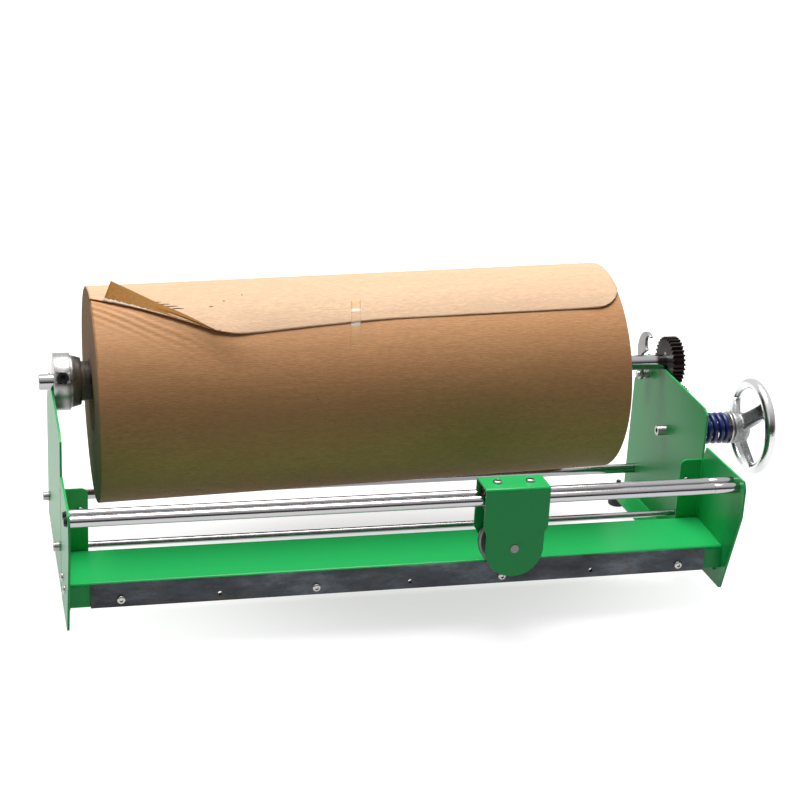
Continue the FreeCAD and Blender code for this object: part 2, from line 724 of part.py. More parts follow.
def make_blade_screws():
    """Screws in every other hole of the blade, each with a nut behind the lip."""
    screws = []
    nuts = []
    nut_seat = S["table_front"] + S["sheet"]
    length = S["blade_thickness"] + S["sheet"] + S["nut_height"] + 1.0
    z = base + S["blade_hole_height"]
    for index, x in enumerate(blade_hole_places()):
        if index % 2 == 0:
            screws.append(screw("blade_screw%d" % index, (x, blade_face, z), "-y", S["m4_radius"],
                                length, S["blade_head_radius"], S["blade_head_height"]))
            nuts.append(nut("blade_nut%d" % index, (x, nut_seat, z), "+y", S["nut_radius"],
                            S["m4_radius"], S["nut_height"]))
    keep(group("blade_screws", screws), "blade_screws")
    keep(group("blade_nuts", nuts), "blade_nuts")


def tapped_rod(name, radius, start, length, bore, depth, y, z):
    """A round bar along X with a tapped bore in each end."""
    bar = doc.addObject("Part::Cylinder", name + "_bar")
    bar.Radius = value_of(radius)
    bar.Height = value_of(length)
    bind(bar, "Radius", radius)
    bind(bar, "Height", length)
    near = cylinder(name + "_near_bore", bore, depth)
    far = cylinder(name + "_far_bore", bore, depth, z=length - depth)
    bores = joined(name + "_bores", [near, far])
    return place(less(name, bar, bores), start, y, z, TURNS["+x"])


def make_guide_rods():
    """Two guide rods, each with a spacer at the brake end and a screw at both ends."""
    length = inner_face * 2 - S["spacer_length"]
    spacer_x = inner_face - S["spacer_length"]
    spacers = []
    screws = []
    for label, y in zip(("front_guide_rod", "rear_guide_rod"), rod_ys):
        keep(tapped_rod(label, S["rod_radius"], -inner_face, length, S["m5_radius"],
                        S["rod_bore_depth"], y, rod_z), label)
        spacers.append(ring(label + "_spacer", S["rod_radius"] - S["rod_chamfer"] / 4,
                            S["m5_radius"], S["spacer_length"], spacer_x, y, rod_z))
        for side, turn, reach in ((-1, "-x", 0.0), (1, "+x", S["spacer_length"])):
            seat = half_width * side
            screws.append(screw("%s_screw%s" % (label, turn[0].replace("-", "m").replace("+", "p")),
                                (seat, y, rod_z), turn, S["m5_radius"],
                                S["sheet"] + S["rod_bore_depth"] - 2.0 + reach,
                                S["rod_head_radius"], S["rod_head_height"]))
    keep(group("guide_rod_spacers", spacers), "guide_rod_spacers")
    keep(group("guide_rod_screws", screws), "guide_rod_screws")


def make_cross_bar(label, screws_label, radius, shank, y, z):
    """A bar between the side plates, held by a cap screw through each plate."""
    depth = S["rod_bore_depth"]
    keep(tapped_rod(label, radius, -inner_face, inner_face * 2, shank, depth, y, z), label)
    screws = []
    for side, turn in ((-1, "-x"), (1, "+x")):
        name = "%s_%s" % (screws_label, "left" if side < 0 else "right")
        screws.append(screw(name, (half_width * side, y, z), turn, shank,
                            S["sheet"] + depth - 2.0, S["cap_head_radius"],
                            S["cap_head_height"], 0.95))
    keep(group(screws_label, screws), screws_label)


def make_table_screws():
    """Screws through the wings into the table's end tabs."""
    screws = []
    for side, turn in ((-1, "-x"), (1, "+x")):
        for row, y in enumerate((S["table_screw_front_place"], S["table_screw_rear_place"])):
            name = "table_screw%d%s" % (row, "left" if side < 0 else "right")
            at = (half_width * side, y, base + S["table_screw_height"])
            screws.append(screw(name, at, turn, S["m4_radius"], S["sheet"] * 2 + 1.5,
                                S["blade_head_radius"], S["blade_head_height"]))
    keep(group("table_screws", screws), "table_screws")


def make_flange_screws():
    """Screws and nuts that hold each wing's flange to its side plate's flange."""
    screws = []
    nuts = []
    for side in (-1, 1):
        x = (half_width - S["flange_screw_inset"]) * side
        for row, height in enumerate((S["flange_screw_low"], S["flange_screw_high"])):
            name = "flange%d%s" % (row, "left" if side < 0 else "right")
            z = base + height
            length = S["sheet"] * 2 + S["nut_height"] - 0.4
            screws.append(screw(name + "_screw", (x, flange_front, z), "-y", S["m4_radius"],
                                length, S["blade_head_radius"], S["blade_head_height"]))
            nuts.append(nut(name + "_nut", (x, flange_front + S["sheet"] * 2, z), "+y",
                            S["nut_radius"], S["m4_radius"], S["nut_height"]))
    keep(group("flange_screws", screws), "flange_screws")
    keep(group("flange_nuts", nuts), "flange_nuts")


def make_feet():
    """Four rubber feet with their studs and the nuts on the foot flanges."""
    feet = []
    studs = []
    nuts = []
    for side in (-1, 1):
        x = (half_width - S["foot_inset"]) * side
        for row, y in enumerate((S["foot_front_place"], S["foot_rear_place"])):
            name = "foot%d%s" % (row, "left" if side < 0 else "right")
            stud_z = base - S["foot_stud_depth"]
            rubber = cylinder(name + "_rubber", S["foot_radius"], base, x, y, 0.0)
            pit = cylinder(name + "_pit", S["foot_stud_radius"], S["foot_stud_depth"], x, y, stud_z)
            feet.append(less(name, rubber, pit))
            studs.append(cylinder(name + "_stud", S["foot_stud_radius"], S["foot_stud_length"],
                                  x, y, stud_z))
            nuts.append(nut(name + "_nut", (x, y, base + S["sheet"]), "+z", S["nut_radius"] + 0.6,
                            S["foot_stud_radius"], S["nut_height"] + 0.8))
    keep(group("rubber_feet", feet), "rubber_feet")
    keep(group("foot_studs", studs), "foot_studs")
    keep(group("foot_nuts", nuts), "foot_nuts")


# Mandrel, collars and gear


def chamfered_bar(name, radius, length, chamfer):
    """A bar along its own Z axis with a chamfer at both ends."""
    middle = cylinder(name + "_middle", radius, length - chamfer * 2, z=chamfer)
    near = cone(name + "_near", radius - chamfer, radius, chamfer)
    far = cone(name + "_far", radius, radius - chamfer, chamfer, z=length - chamfer)
    return joined(name + "_bar", [near, middle, far])


def make_mandrel():
    """The mandrel shaft, with a keyway under the gear."""
    start = -half_width - S["shaft_free_end"]
    length = half_width * 2 + S["shaft_free_end"] + S["shaft_gear_end"]
    bar = place(chamfered_bar("mandrel", S["shaft_radius"], length, S["shaft_chamfer"]),
                start, shaft_y, shaft_z, TURNS["+x"])
    keep(less("mandrel_cut", bar, key_block("mandrel_keyway")), "mandrel_shaft")


def key_block(name):
    """The space of the square key, half in the shaft and half in the gear."""
    side = S["key_side"]
    x = half_width + S["gear_offset"]
    z = shaft_z + S["shaft_radius"] - side * SHAFT_TO_KEY
    return block(name, S["gear_width"], side, side, x, shaft_y - side / 2, z)


SET_SCREW_TURN = (Vector(1, 0, 0), 64.0)


def make_chuck(side, label, collar_start, ring_start, plug_start, plug_radius, plug_length):
    """Collar with its set screw, and the turned plug with the tapered ring."""
    bore = S["shaft_radius"]
    ring_name = label + "_core_plug"
    width = S["ring_width"]
    if side < 0:
        taper = cone(ring_name + "_taper", S["ring_radius"], S["ring_small_radius"], width,
                     ring_start, shaft_y, shaft_z, "+x")
    else:
        taper = cone(ring_name + "_taper", S["ring_small_radius"], S["ring_radius"], width,
                     ring_start, shaft_y, shaft_z, "+x")
    plug = cylinder(ring_name + "_plug", plug_radius, plug_length, plug_start, shaft_y, shaft_z, "+x")
    hole = cylinder(ring_name + "_bore", bore, half_width, min(ring_start, plug_start, key=value_of) - 10.0,
                    shaft_y, shaft_z, "+x")
    keep(less(ring_name, joined(ring_name + "_solid", [taper, plug]), hole), ring_name)
    screw_x = collar_start + S["collar_width"] / 2
    top = S["collar_radius"] + S["set_screw_proud"]
    drill_hole = place(cylinder(label + "_drill", S["set_screw_radius"], S["collar_radius"] + 1.0),
                       screw_x, shaft_y, shaft_z, SET_SCREW_TURN)
    collar = cylinder(label + "_collar_disc", S["collar_radius"], S["collar_width"], collar_start,
                      shaft_y, shaft_z, "+x")
    collar_bore = cylinder(label + "_collar_bore", bore, S["collar_width"], collar_start,
                           shaft_y, shaft_z, "+x")
    cuts = joined(label + "_collar_cuts", [collar_bore, drill_hole])
    keep(less(label + "_collar", collar, cuts), label + "_collar")
    stem = cylinder(label + "_screw_stem", S["set_screw_radius"], top - bore - 0.2, z=bore + 0.2)
    socket = hexagon(label + "_screw_socket", S["set_screw_radius"] * 0.55, 6.0, top - 5.0)
    grub = place(less(label + "_grub", stem, socket), screw_x, shaft_y, shaft_z, SET_SCREW_TURN)
    keep(grub, label + "_set_screw")


def make_chucks():
    collar = -inner_face + S["part_gap"]
    ring_x = collar + S["collar_width"]
    plug_x = ring_x + S["ring_width"]
    make_chuck(-1, "left", collar, ring_x, plug_x, S["plug_radius"], S["plug_length"])
    plug_x = roll_right - S["core_plug_length"]
    ring_x = roll_right
    collar = ring_x + S["ring_width"]
    make_chuck(1, "right", collar, ring_x, plug_x, S["core_plug_radius"], S["core_plug_length"])


def gear_shape(teeth, width, bore):
    """A spur gear on its own Z axis, a tooth on +X, with three-point flanks."""
    module = S["gear_module"].value
    pitch_radius = module * teeth / 2
    tip_radius = pitch_radius + module
    root_radius = pitch_radius - 1.25 * module
    base_radius = pitch_radius * math.cos(math.radians(20.0))
    half_tooth = (math.pi * module / 2 - S["tooth_gap"].value) / (2 * pitch_radius)

    def involute(radius):
        if radius <= base_radius:
            return 0.0
        roll = math.sqrt((radius / base_radius) ** 2 - 1)
        return roll - math.atan(roll)

    def half_angle(radius):
        return half_tooth + involute(pitch_radius) - involute(radius)

    corners = []
    for tooth in range(int(teeth)):
        middle = 2 * math.pi * tooth / teeth
        levels = (root_radius, pitch_radius, tip_radius)
        for radius in levels:
            corners.append((radius, middle - half_angle(radius)))
        for radius in reversed(levels):
            corners.append((radius, middle + half_angle(radius)))
    points = [Vector(r * math.cos(a), r * math.sin(a), 0) for r, a in corners]
    face = Part.Face(Part.makePolygon(points + [points[0]]))
    solid = face.extrude(Vector(0, 0, width))
    return solid.cut(Part.makeCylinder(bore, width))


def make_gears():
    """The mandrel's gear and the brake's gear, in mesh on their centre line."""
    line = math.atan2(-brake_drop.value, -S["brake_forward"].value)
    to_x = FreeCAD.Rotation(Vector(0, 1, 0), Vector(0, 0, 1), Vector(1, 0, 0), "ZXY")
    start = half_width + S["gear_offset"]
    wheel = doc.addObject("Part::Feature", "drive_gear_teeth")
    wheel.Shape = gear_shape(S["shaft_teeth"].value, S["gear_width"].value, S["shaft_radius"].value)
    turn = FreeCAD.Rotation(Vector(1, 0, 0), math.degrees(line))
    wheel.Placement = FreeCAD.Placement(vector(start, shaft_y, shaft_z), turn.multiply(to_x))
    keep(less("drive_gear_cut", wheel, key_block("drive_gear_keyway")), "drive_gear")
    start = half_width + S["disc_thickness"] + S["gear_side_gap"]
    teeth = S["brake_teeth"].value
    gear = doc.addObject("Part::Feature", "brake_gear_teeth")
    gear.Shape = gear_shape(teeth, S["brake_gear_width"].value, S["bush_radius"].value)
    turn = FreeCAD.Rotation(Vector(1, 0, 0), math.degrees(line) + 180.0 + 180.0 / teeth)
    gear.Placement = FreeCAD.Placement(vector(start, brake_y, brake_z), turn.multiply(to_x))
    holder = doc.addObject("Part::Compound", "brake_gear_holder")
    holder.Links = [gear]
    keep(holder, "brake_gear")
    keep(key_block("gear_key_block"), "gear_key")
    keep(ring("circlip", S["circlip_radius"], S["shaft_radius"], S["circlip_width"],
              half_width + S["gear_offset"] + S["gear_width"], shaft_y, shaft_z), "shaft_retaining_ring")


# Paper roll


def roll_turn():
    """The roll hangs lower at its plain end, so its axis climbs towards the brake."""
    climb = (S["roll_drop_left"] - S["roll_drop_right"]).value
    return math.degrees(math.asin(climb / roll_length.value))


def roll_tube(name, radius, bore):
    tube = less(name, cylinder(name + "_outer", radius, roll_length),
                cylinder(name + "_bore", bore, roll_length))
    return place(tube, -roll_left, shaft_y, shaft_z - S["roll_drop_left"],
                 (Vector(0, 1, 0), 90.0 - roll_turn()))


def make_roll():
    inner = S["core_radius"] - S["core_wall"]
    keep(roll_tube("core", S["core_radius"], inner), "core_tube")
    keep(roll_tube("paper", S["roll_radius"], S["core_radius"]), "paper_roll")
    low = (S["roll_radius"] + S["flap_lift"]).value
    high = low + S["flap_thickness"].value
    length = roll_length.value
    front = S["flap_front_angle"].value
    sweep = front + S["flap_rear_angle"].value
    along = Vector(0, 0, 1)
    outer = Part.makeCylinder(high, length, Vector(0, 0, 0), along, sweep)
    turned = 180.0 - S["flap_rear_angle"].value
    outer.rotate(Vector(0, 0, 0), along, turned)
    front_y = -low * math.sin(math.radians(front))
    fold = [Vector(0, front_y + S["flap_corner_depth"].value, -1),
            Vector(0, front_y, S["flap_corner_length"].value), Vector(0, -high, -1)]
    corner = Part.Face(Part.makePolygon(fold + [fold[0]])).extrude(Vector(-high, 0, 0))
    bore = Part.makeCylinder(low, length, Vector(0, 0, 0), along, 360.0)
    flap = doc.addObject("Part::Feature", "flap_sheet")
    flap.Shape = outer.cut([bore, corner])
    # after the turn to X the local +X axis points down and +Y stays, so the sheet's
    # start angle is counted from the bottom
    turn = FreeCAD.Rotation(Vector(0, 1, 0), 90.0 - roll_turn())
    place(flap, -roll_left, shaft_y, shaft_z - S["roll_drop_left"])
    flap.Placement = FreeCAD.Placement(flap.Placement.Base, turn)
    keep(flap, "paper_flap")


# Brake


def make_brake():
    """Stud, friction discs, pressure plate, bush, thrust washer and spring."""
    hole = S["stud_radius"] + S["hole_gap"]
    start = inner_face - S["stud_inside"]
    length = hub_start + S["hub_length"] + 2.0 - start
    bar = cylinder("stud_bar", S["stud_radius"], length)
    socket = hexagon("stud_socket", S["stud_radius"] * 0.55, S["stud_radius"])
    keep(place(less("stud", bar, socket), start, brake_y, brake_z, TURNS["+x"]), "brake_stud")
    keep(ring("inner_disc", S["disc_radius"], hole, S["disc_thickness"], half_width,
              brake_y, brake_z), "inner_friction_disc")
    keep(ring("outer_disc", S["disc_radius"], hole, S["disc_thickness"], disc_outer_start,
              brake_y, brake_z), "outer_friction_disc")
    keep(ring("plate", S["pressure_plate_radius"], hole, S["pressure_plate_thickness"],
              plate_start, brake_y, brake_z), "pressure_plate")
    keep(ring("bush", S["bush_radius"], S["stud_radius"] + S["running_gap"], S["brake_gear_width"],
              half_width + S["disc_thickness"] + S["gear_side_gap"], brake_y, brake_z),
         "brake_gear_bush")
    keep(ring("washer", S["thrust_washer_radius"], hole, S["thrust_washer_thickness"],
              washer_start, brake_y, brake_z), "thrust_washer")


def helix_points(radius, turns, length, dead_pitch, wire):
    """Points and tangents every quarter turn: one closed turn at each end."""
    travel = length - wire - 0.2
    open_pitch = (travel - 2 * dead_pitch) / (turns - 2)

    def height(turn):
        if turn <= 1:
            return dead_pitch * turn
        if turn >= turns - 1:
            return travel - dead_pitch * (turns - turn)
        return dead_pitch + open_pitch * (turn - 1)

    def slope(turn):
        if turn in (1, turns - 1):
            return (dead_pitch + open_pitch) / 2
        return dead_pitch if turn < 1 or turn > turns - 1 else open_pitch

    spots = []
    for quarter in range(int(turns) * 4 + 1):
        turn = quarter / 4
        angle = 2 * math.pi * turn
        point = Vector(radius * math.cos(angle), radius * math.sin(angle), height(turn))
        tangent = Vector(-radius * math.sin(angle), radius * math.cos(angle), slope(turn) / (2 * math.pi))
        spots.append((point, tangent.normalize()))
    return spots


def half_arc(start, knee, end):
    """The arc that touches start-knee and knee-end, which are equally long."""
    middle = (start + end) * 0.5
    cosine = (middle - start).Length / (knee - start).Length
    top = middle + (knee - middle) * (cosine / (1 + cosine))
    return Part.Arc(start, top, end).toShape()


def biarc(first, second):
    """Two arcs in space that join two points and keep both tangents."""
    start, leaving = first
    end, arriving = second
    chord = end - start
    total = leaving + arriving
    a = total.dot(total) - 4
    b = -2 * chord.dot(total)
    c = chord.dot(chord)
    reach = (-b - math.sqrt(b * b - 4 * a * c)) / (2 * a)
    knee_1 = start + leaving * reach
    knee_2 = end - arriving * reach
    meeting = (knee_1 + knee_2) * 0.5
    return [half_arc(start, knee_1, meeting), half_arc(meeting, knee_2, end)]


def least_gap(spots, wire):
    """Least space between the spring's turns, measured between points a turn apart."""
    distances = []
    for index, (point, tangent) in enumerate(spots):
        for other, other_tangent in spots[index + 3:]:
            distances.append(point.distanceToPoint(other))
    return min(distances) - wire


def make_spring():
    """The brake spring: one unbroken wire with a closed turn at each end."""
    wire = S["spring_wire"].value
    radius = S["spring_radius"].value - wire / 2
    spots = helix_points(radius, S["spring_turns"].value, S["spring_length"].value,
                         S["dead_turn_pitch"].value, wire)
    edges = []
    for first, second in zip(spots, spots[1:]):
        edges += biarc(first, second)
    path = Part.Wire(edges)
    point, tangent = spots[0]
    section = Part.Wire([Part.makeCircle(wire / 2, point, tangent)])
    solid = path.makePipeShell([section], True, False)
    print("spring: volume %.1f, section times length %.1f, least gap %.2f mm"
          % (solid.Volume, math.pi * wire * wire / 4 * path.Length, least_gap(spots, wire)))
    thing = doc.addObject("Part::Feature", "spring_wire_shape")
    thing.Shape = solid
    place(thing, spring_start + S["spring_wire"] / 2 + 0.1, brake_y, brake_z, TURNS["+x"])
    keep(thing, "brake_spring")


def wheel_spoke(index, length, start, low, turn, tilt):
    """One flat spoke with rounded long edges, from inside the hub into the rim."""
    width = S["spoke_width"].value
    thick = S["spoke_thickness"].value
    bar = doc.addObject("Part::Box", "wheel_bar%d" % index)
    bar.Length = length
    bar.Width = width
    bar.Height = thick
    bind(bar, "Width", S["spoke_width"])
    bind(bar, "Height", S["spoke_thickness"])
    lie = turn.multiply(tilt)
    corner = turn.multVec(Vector(start, 0, low)) + lie.multVec(Vector(0, -width / 2, -thick / 2))
    bar.Placement = FreeCAD.Placement(corner, lie)
    doc.recompute()
    spoke = doc.addObject("Part::Fillet", "wheel_spoke%d" % index)
    spoke.Base = bar
    along = lie.multVec(Vector(1, 0, 0))
    edge = S["spoke_edge"].value
    spoke.Edges = [(number, edge, edge) for number, item in enumerate(bar.Shape.Edges, start=1)
                   if abs(item.tangentAt(item.FirstParameter).dot(along)) > 0.99]
    return spoke


def make_handwheel():
    """Cast handwheel: dished, with three spokes from the hub out to the round rim."""
    rim = doc.addObject("Part::Torus", "wheel_rim")
    rim.Radius1 = S["wheel_rim_radius"].value
    rim.Radius2 = S["wheel_rim_section"].value
    bind(rim, "Radius1", S["wheel_rim_radius"])
    bind(rim, "Radius2", S["wheel_rim_section"])
    place(rim, 0.0, 0.0, S["wheel_rim_offset"])
    hub = cylinder("wheel_hub", S["hub_radius"], S["hub_length"])
    pieces = [rim, hub]
    low = S["hub_length"].value * 0.62
    start = S["hub_radius"].value * 0.5
    rise = S["wheel_rim_offset"].value - low
    reach = S["wheel_rim_radius"].value - start
    tilt = FreeCAD.Rotation(Vector(0, 1, 0), -math.degrees(math.atan2(rise, reach)))
    for index in range(SPOKES):
        # the hub's local +X axis points down once the wheel's axis lies along X
        around = 90.0 + S["spoke_angle"].value + index * 360.0 / SPOKES
        turn = FreeCAD.Rotation(Vector(0, 0, 1), around)
        pieces.append(wheel_spoke(index, math.hypot(rise, reach), start, low, turn, tilt))
    bore = cylinder("wheel_bore", S["stud_radius"] + S["running_gap"], S["wheel_rim_offset"] + 20.0, z=-1.0)
    solid = joined("wheel_solid", pieces)
    wheel = less("handwheel_cut", solid, bore)
    solid.Refine = False
    wheel.Refine = False
    keep(place(wheel, hub_start, brake_y, brake_z, TURNS["+x"]), "handwheel")


# Latch


def latch_hook_centre():
    """Centre of the hook's mouth with the latch open, from the pivot."""
    back = S["latch_place"].value - S["shaft_place"].value
    up = S["shaft_height"].value - S["latch_height"].value
    closed = math.atan2(up, -back)
    angle = closed - math.radians(S["latch_open_angle"].value)
    arm = math.hypot(back, up)
    return arm * math.cos(angle), arm * math.sin(angle), angle


def make_latch():
    """Flat hook that swings forward over the mandrel, shown open."""
    y, z, angle = latch_hook_centre()
    mouth = S["shaft_radius"].value + S["part_gap"].value
    thick = S["latch_thickness"].value
    eye = S["latch_eye_radius"].value
    arm = math.hypot(y, z)
    top = mouth + S["latch_tip_wall"].value
    back = S["latch_back"].value

    def spot(rear, up):
        """A point from the pivot: towards the back edge, and along the arm."""
        return Vector(rear * math.sin(angle) + up * math.cos(angle),
                      up * math.sin(angle) - rear * math.cos(angle), 0)

    eye_front = spot(-eye * 0.77, eye * 0.64)
    eye_rear = spot(eye * 0.58, -eye * 0.81)
    throat = spot(back * 0.37, arm - mouth * 2.56)
    lip = spot(-0.6, arm - mouth)
    tip = spot(-0.6, arm + top)
    shoulder = spot(back * 0.48, arm + top * 0.8)
    rear_high = spot(back, arm - top * 0.62)
    rear_middle = spot(back, arm - top * 2.0)
    rear_low = spot(back * 0.75, arm - top * 2.85)
    outline = Part.Wire([
        Part.LineSegment(eye_front, throat).toShape(), Part.LineSegment(throat, lip).toShape(),
        Part.LineSegment(lip, tip).toShape(), Part.Arc(tip, shoulder, rear_high).toShape(),
        Part.Arc(rear_high, rear_middle, rear_low).toShape(),
        Part.LineSegment(rear_low, eye_rear).toShape(), Part.LineSegment(eye_rear, eye_front).toShape()])
    plate = Part.Face(outline).extrude(Vector(0, 0, thick)).fuse(Part.makeCylinder(eye, thick))
    up_x = Vector(0, 0, 1)
    way = Part.makeCylinder(arm + mouth, thick, Vector(0, 0, 0), up_x, 75.0)
    way = way.cut(Part.makeCylinder(arm - mouth, thick))
    way.rotate(Vector(0, 0, 0), up_x, math.degrees(angle))
    sweep = Part.makeCylinder(mouth, thick, Vector(y, z, 0))
    hole = Part.makeCylinder(S["latch_pin_radius"].value + S["running_gap"].value, thick)
    solid = plate.cut([way, sweep, hole]).removeSplitter()
    thing = doc.addObject("Part::Feature", "latch_plate")
    thing.Shape = solid
    place(thing, latch_start, S["latch_place"], base + S["latch_height"])
    # local X runs to the rear and local Y up, so the plate's thickness lies along X
    lie = FreeCAD.Rotation(Vector(0, 1, 0), Vector(0, 0, 1), Vector(1, 0, 0), "ZXY")
    thing.Placement = FreeCAD.Placement(thing.Placement.Base, lie)
    keep(thing, "shaft_latch")
    at_y = S["latch_place"]
    at_z = base + S["latch_height"]
    end = latch_start - S["latch_pin_proud"]
    pin = cylinder("pin_shank", S["latch_pin_radius"], half_width - end, end, at_y, at_z, "+x")
    head = cylinder("pin_head", S["latch_pin_radius"] * 1.7, S["rod_head_height"], half_width,
                    at_y, at_z, "+x")
    keep(joined("latch_pin", [pin, head]), "latch_pivot_bolt")
    nut_height = S["nut_height"] + 0.8
    keep(nut("pin_nut", (inner_face - nut_height, at_y, at_z), "+x", S["latch_pin_radius"] * 1.8,
             S["latch_pin_radius"], nut_height), "latch_nut")
    washer_x = latch_start + S["latch_thickness"] + S["part_gap"]
    keep(ring("pin_washer", S["latch_pin_radius"] * 1.4, S["latch_pin_radius"],
              inner_face - nut_height - washer_x, washer_x, at_y, at_z), "latch_washer")


# Carriage


def make_housing():
    """Bent carriage housing: top, round-ended front plate and short rear plate."""
    body = new_body("carriage_housing")
    x = S["carriage_place"]
    half = S["carriage_half_width"]
    thin = S["sheet"]
    round_end = S["housing_round"]
    top = rectangle(x - half, housing_front, x + half, housing_rear)
    pad_outline(body, "XY_Plane", top, housing_top - thin, thin)
    waist = base + S["housing_waist"]
    waist_end = base + S["housing_waist_end"]
    front = [
        (x - half, housing_top), (x - half, waist), (x - round_end, waist_end),
        (x - round_end, axle_z), (x + round_end, axle_z), (x + round_end, waist_end),
        (x + half, waist), (x + half, housing_top),
    ]
    pad_outline(body, "XZ_Plane", front, housing_front, thin)
    pad_disc(body, "XZ_Plane", (x, axle_z), round_end, housing_front, thin)
    bottom = S["housing_rear_half_width"]
    rear_waist = base + S["housing_rear_waist"]
    rear_low = base + S["housing_rear_bottom"]
    rear = [
        (x - half, housing_top), (x - half, rear_waist), (x - bottom, rear_low),
        (x + bottom, rear_low), (x + half, rear_waist), (x + half, housing_top),
    ]
    pad_outline(body, "XZ_Plane", rear, housing_rear - thin, thin)
    bend(
        body,
        [vector(x, housing_front, housing_top), vector(x, housing_rear, housing_top)],
        [vector(x, housing_front + thin, housing_top - thin),
         vector(x, housing_rear - thin, housing_top - thin)],
    )
    drill(body, "XZ_Plane", [(x, axle_z)], S["axle_radius"] + S["running_gap"])
    screws = [(place_x, housing_middle) for place_x in housing_screw_places()]
    drill(body, "XY_Plane", screws, S["m5_radius"] + S["hole_gap"])
    return keep(body, "carriage_housing")


def housing_screw_places():
    half = S["housing_screw_spacing"] / 2
    return [S["carriage_place"] - half, S["carriage_place"] + half]


def make_slider():
    """Slider block under the housing's top, with two bushes in each bore."""
    length = S["block_length"]
    x = S["carriage_place"] - length / 2
    top = housing_top - S["sheet"]
    depth = S["housing_depth"] - S["sheet"] * 2 - S["part_gap"] * 2
    y = housing_middle - depth / 2
    solid = block("slider_solid", length, depth, S["block_height"], x, y, top - S["block_height"])
    cuts = []
    bushes = []
    bush = S["slider_bush_length"]
    for row, rod_y in enumerate(rod_ys):
        cuts.append(cylinder("slider_bore%d" % row, S["slider_bush_radius"], length, x, rod_y,
                             rod_z, "+x"))
        for start in (x, x + length - bush):
            bushes.append(ring("slider_bush%d%d" % (row, len(bushes)), S["slider_bush_radius"],
                               S["rod_radius"] + S["running_gap"], bush, start, rod_y, rod_z))
    screws = []
    grip = top - rod_z - S["slider_bush_radius"] - 0.6
    for row, screw_x in enumerate(housing_screw_places()):
        cuts.append(cylinder("slider_tap%d" % row, S["m5_radius"], grip, screw_x,
                             housing_middle, top - grip))
        screws.append(screw("housing_screw%d" % row, (screw_x, housing_middle, housing_top), "+z",
                            S["m5_radius"], S["sheet"] + grip, S["blade_head_radius"] + 0.4,
                            S["blade_head_height"]))
    keep(less("slider", solid, joined("slider_cuts", cuts)), "slider_block")
    keep(group("slider_bush_group", bushes), "slider_bushes")
    keep(group("housing_screw_group", screws), "housing_screws")


def make_cutter():
    """Cutter wheel with its bearing, and the axle, spacers and nut that carry it."""
    x = S["carriage_place"]
    bevel = S["cutter_bevel"]
    thick = S["cutter_thickness"]
    rim = cylinder("cutter_disc", S["cutter_radius"], thick - bevel, z=bevel)
    edge = cone("cutter_edge", S["cutter_radius"] - bevel, S["cutter_radius"], bevel)
    bore = cylinder("cutter_bore", S["bearing_radius"], thick)
    wheel = less("cutter", joined("cutter_solid", [rim, edge]), bore)
    keep(place(wheel, x, cutter_front, axle_z, TURNS["+y"]), "cutter_wheel")
    keep(ring("bearing", S["bearing_radius"], S["axle_radius"] + S["running_gap"], thick,
              x, cutter_front, axle_z, "+y"), "wheel_bearing")
    nut_height = S["nut_height"] * 1.4
    start = housing_front - 0.5
    length = housing_rear + nut_height + 0.6 - start
    keep(cylinder("axle", S["axle_radius"], length, x, start, axle_z, "+y"), "cutter_axle")
    keep(nut("axle_hexagon", (x, housing_rear, axle_z), "+y", S["axle_radius"] * 1.7,
             S["axle_radius"], nut_height), "axle_nut")
    near = housing_front + S["sheet"]
    front = ring("front_spacer", S["axle_spacer_radius"], S["axle_radius"],
                 cutter_front - S["part_gap"] - near, x, near, axle_z, "+y")
    rear_start = cutter_rear + S["part_gap"]
    rear = ring("rear_spacer", S["axle_spacer_radius"], S["axle_radius"],
                housing_rear - S["sheet"] - rear_start, x, rear_start, axle_z, "+y")
    keep(group("axle_spacer_group", [front, rear]), "axle_spacers")


def check_all():
    """Stops the script if any object of the document failed."""
    for thing in doc.Objects:
        if "Invalid" in thing.State or "Error" in thing.State:
            raise RuntimeError("%s failed: %s" % (thing.Name, thing.State))
    for thing in sub_parts:
        if thing.Shape.isNull() or not thing.Shape.isValid() or not thing.Shape.Solids:
            raise RuntimeError("%s has no valid solid" % thing.Label)


def write_all():
    os.makedirs("parts", exist_ok=True)
    for thing in sub_parts:
        thing.Shape.exportStep("parts/%s.step" % thing.Label)


make_side_plate(-1, "left_side_plate")
make_side_plate(1, "right_side_plate")
make_wing_plate(-1, "left_wing_plate")
make_wing_plate(1, "right_wing_plate")
make_table()
make_blade()
make_blade_screws()
make_guide_rods()
make_cross_bar("paper_rod", "paper_rod_screws", S["hold_down_radius"], S["m4_radius"],
               S["hold_down_place"], base + S["hold_down_height"])
make_cross_bar("rear_tie_bar", "tie_bar_screws", S["tie_bar_radius"], S["m5_radius"],
               S["tie_bar_place"], base + S["tie_bar_height"])
make_table_screws()
make_flange_screws()
make_feet()
make_mandrel()
make_chucks()
make_gears()
make_roll()
make_brake()
make_spring()
make_handwheel()
make_latch()
make_housing()
make_slider()
make_cutter()
doc.recompute()
check_all()
write_all()
print("%d sub-parts written" % len(sub_parts))
for thing in (shift_x, shift_y, shaft_y, shaft_z, brake_y, brake_z, rim_x, axle_z):
    print("%.4f" % thing.value)
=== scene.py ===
"""Counter cutter for gift wrap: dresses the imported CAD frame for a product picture."""

import json
import math

import bmesh
import bpy
from bpy.props import FloatProperty, FloatVectorProperty, IntProperty, PointerProperty
from mathutils import Matrix, Vector, noise


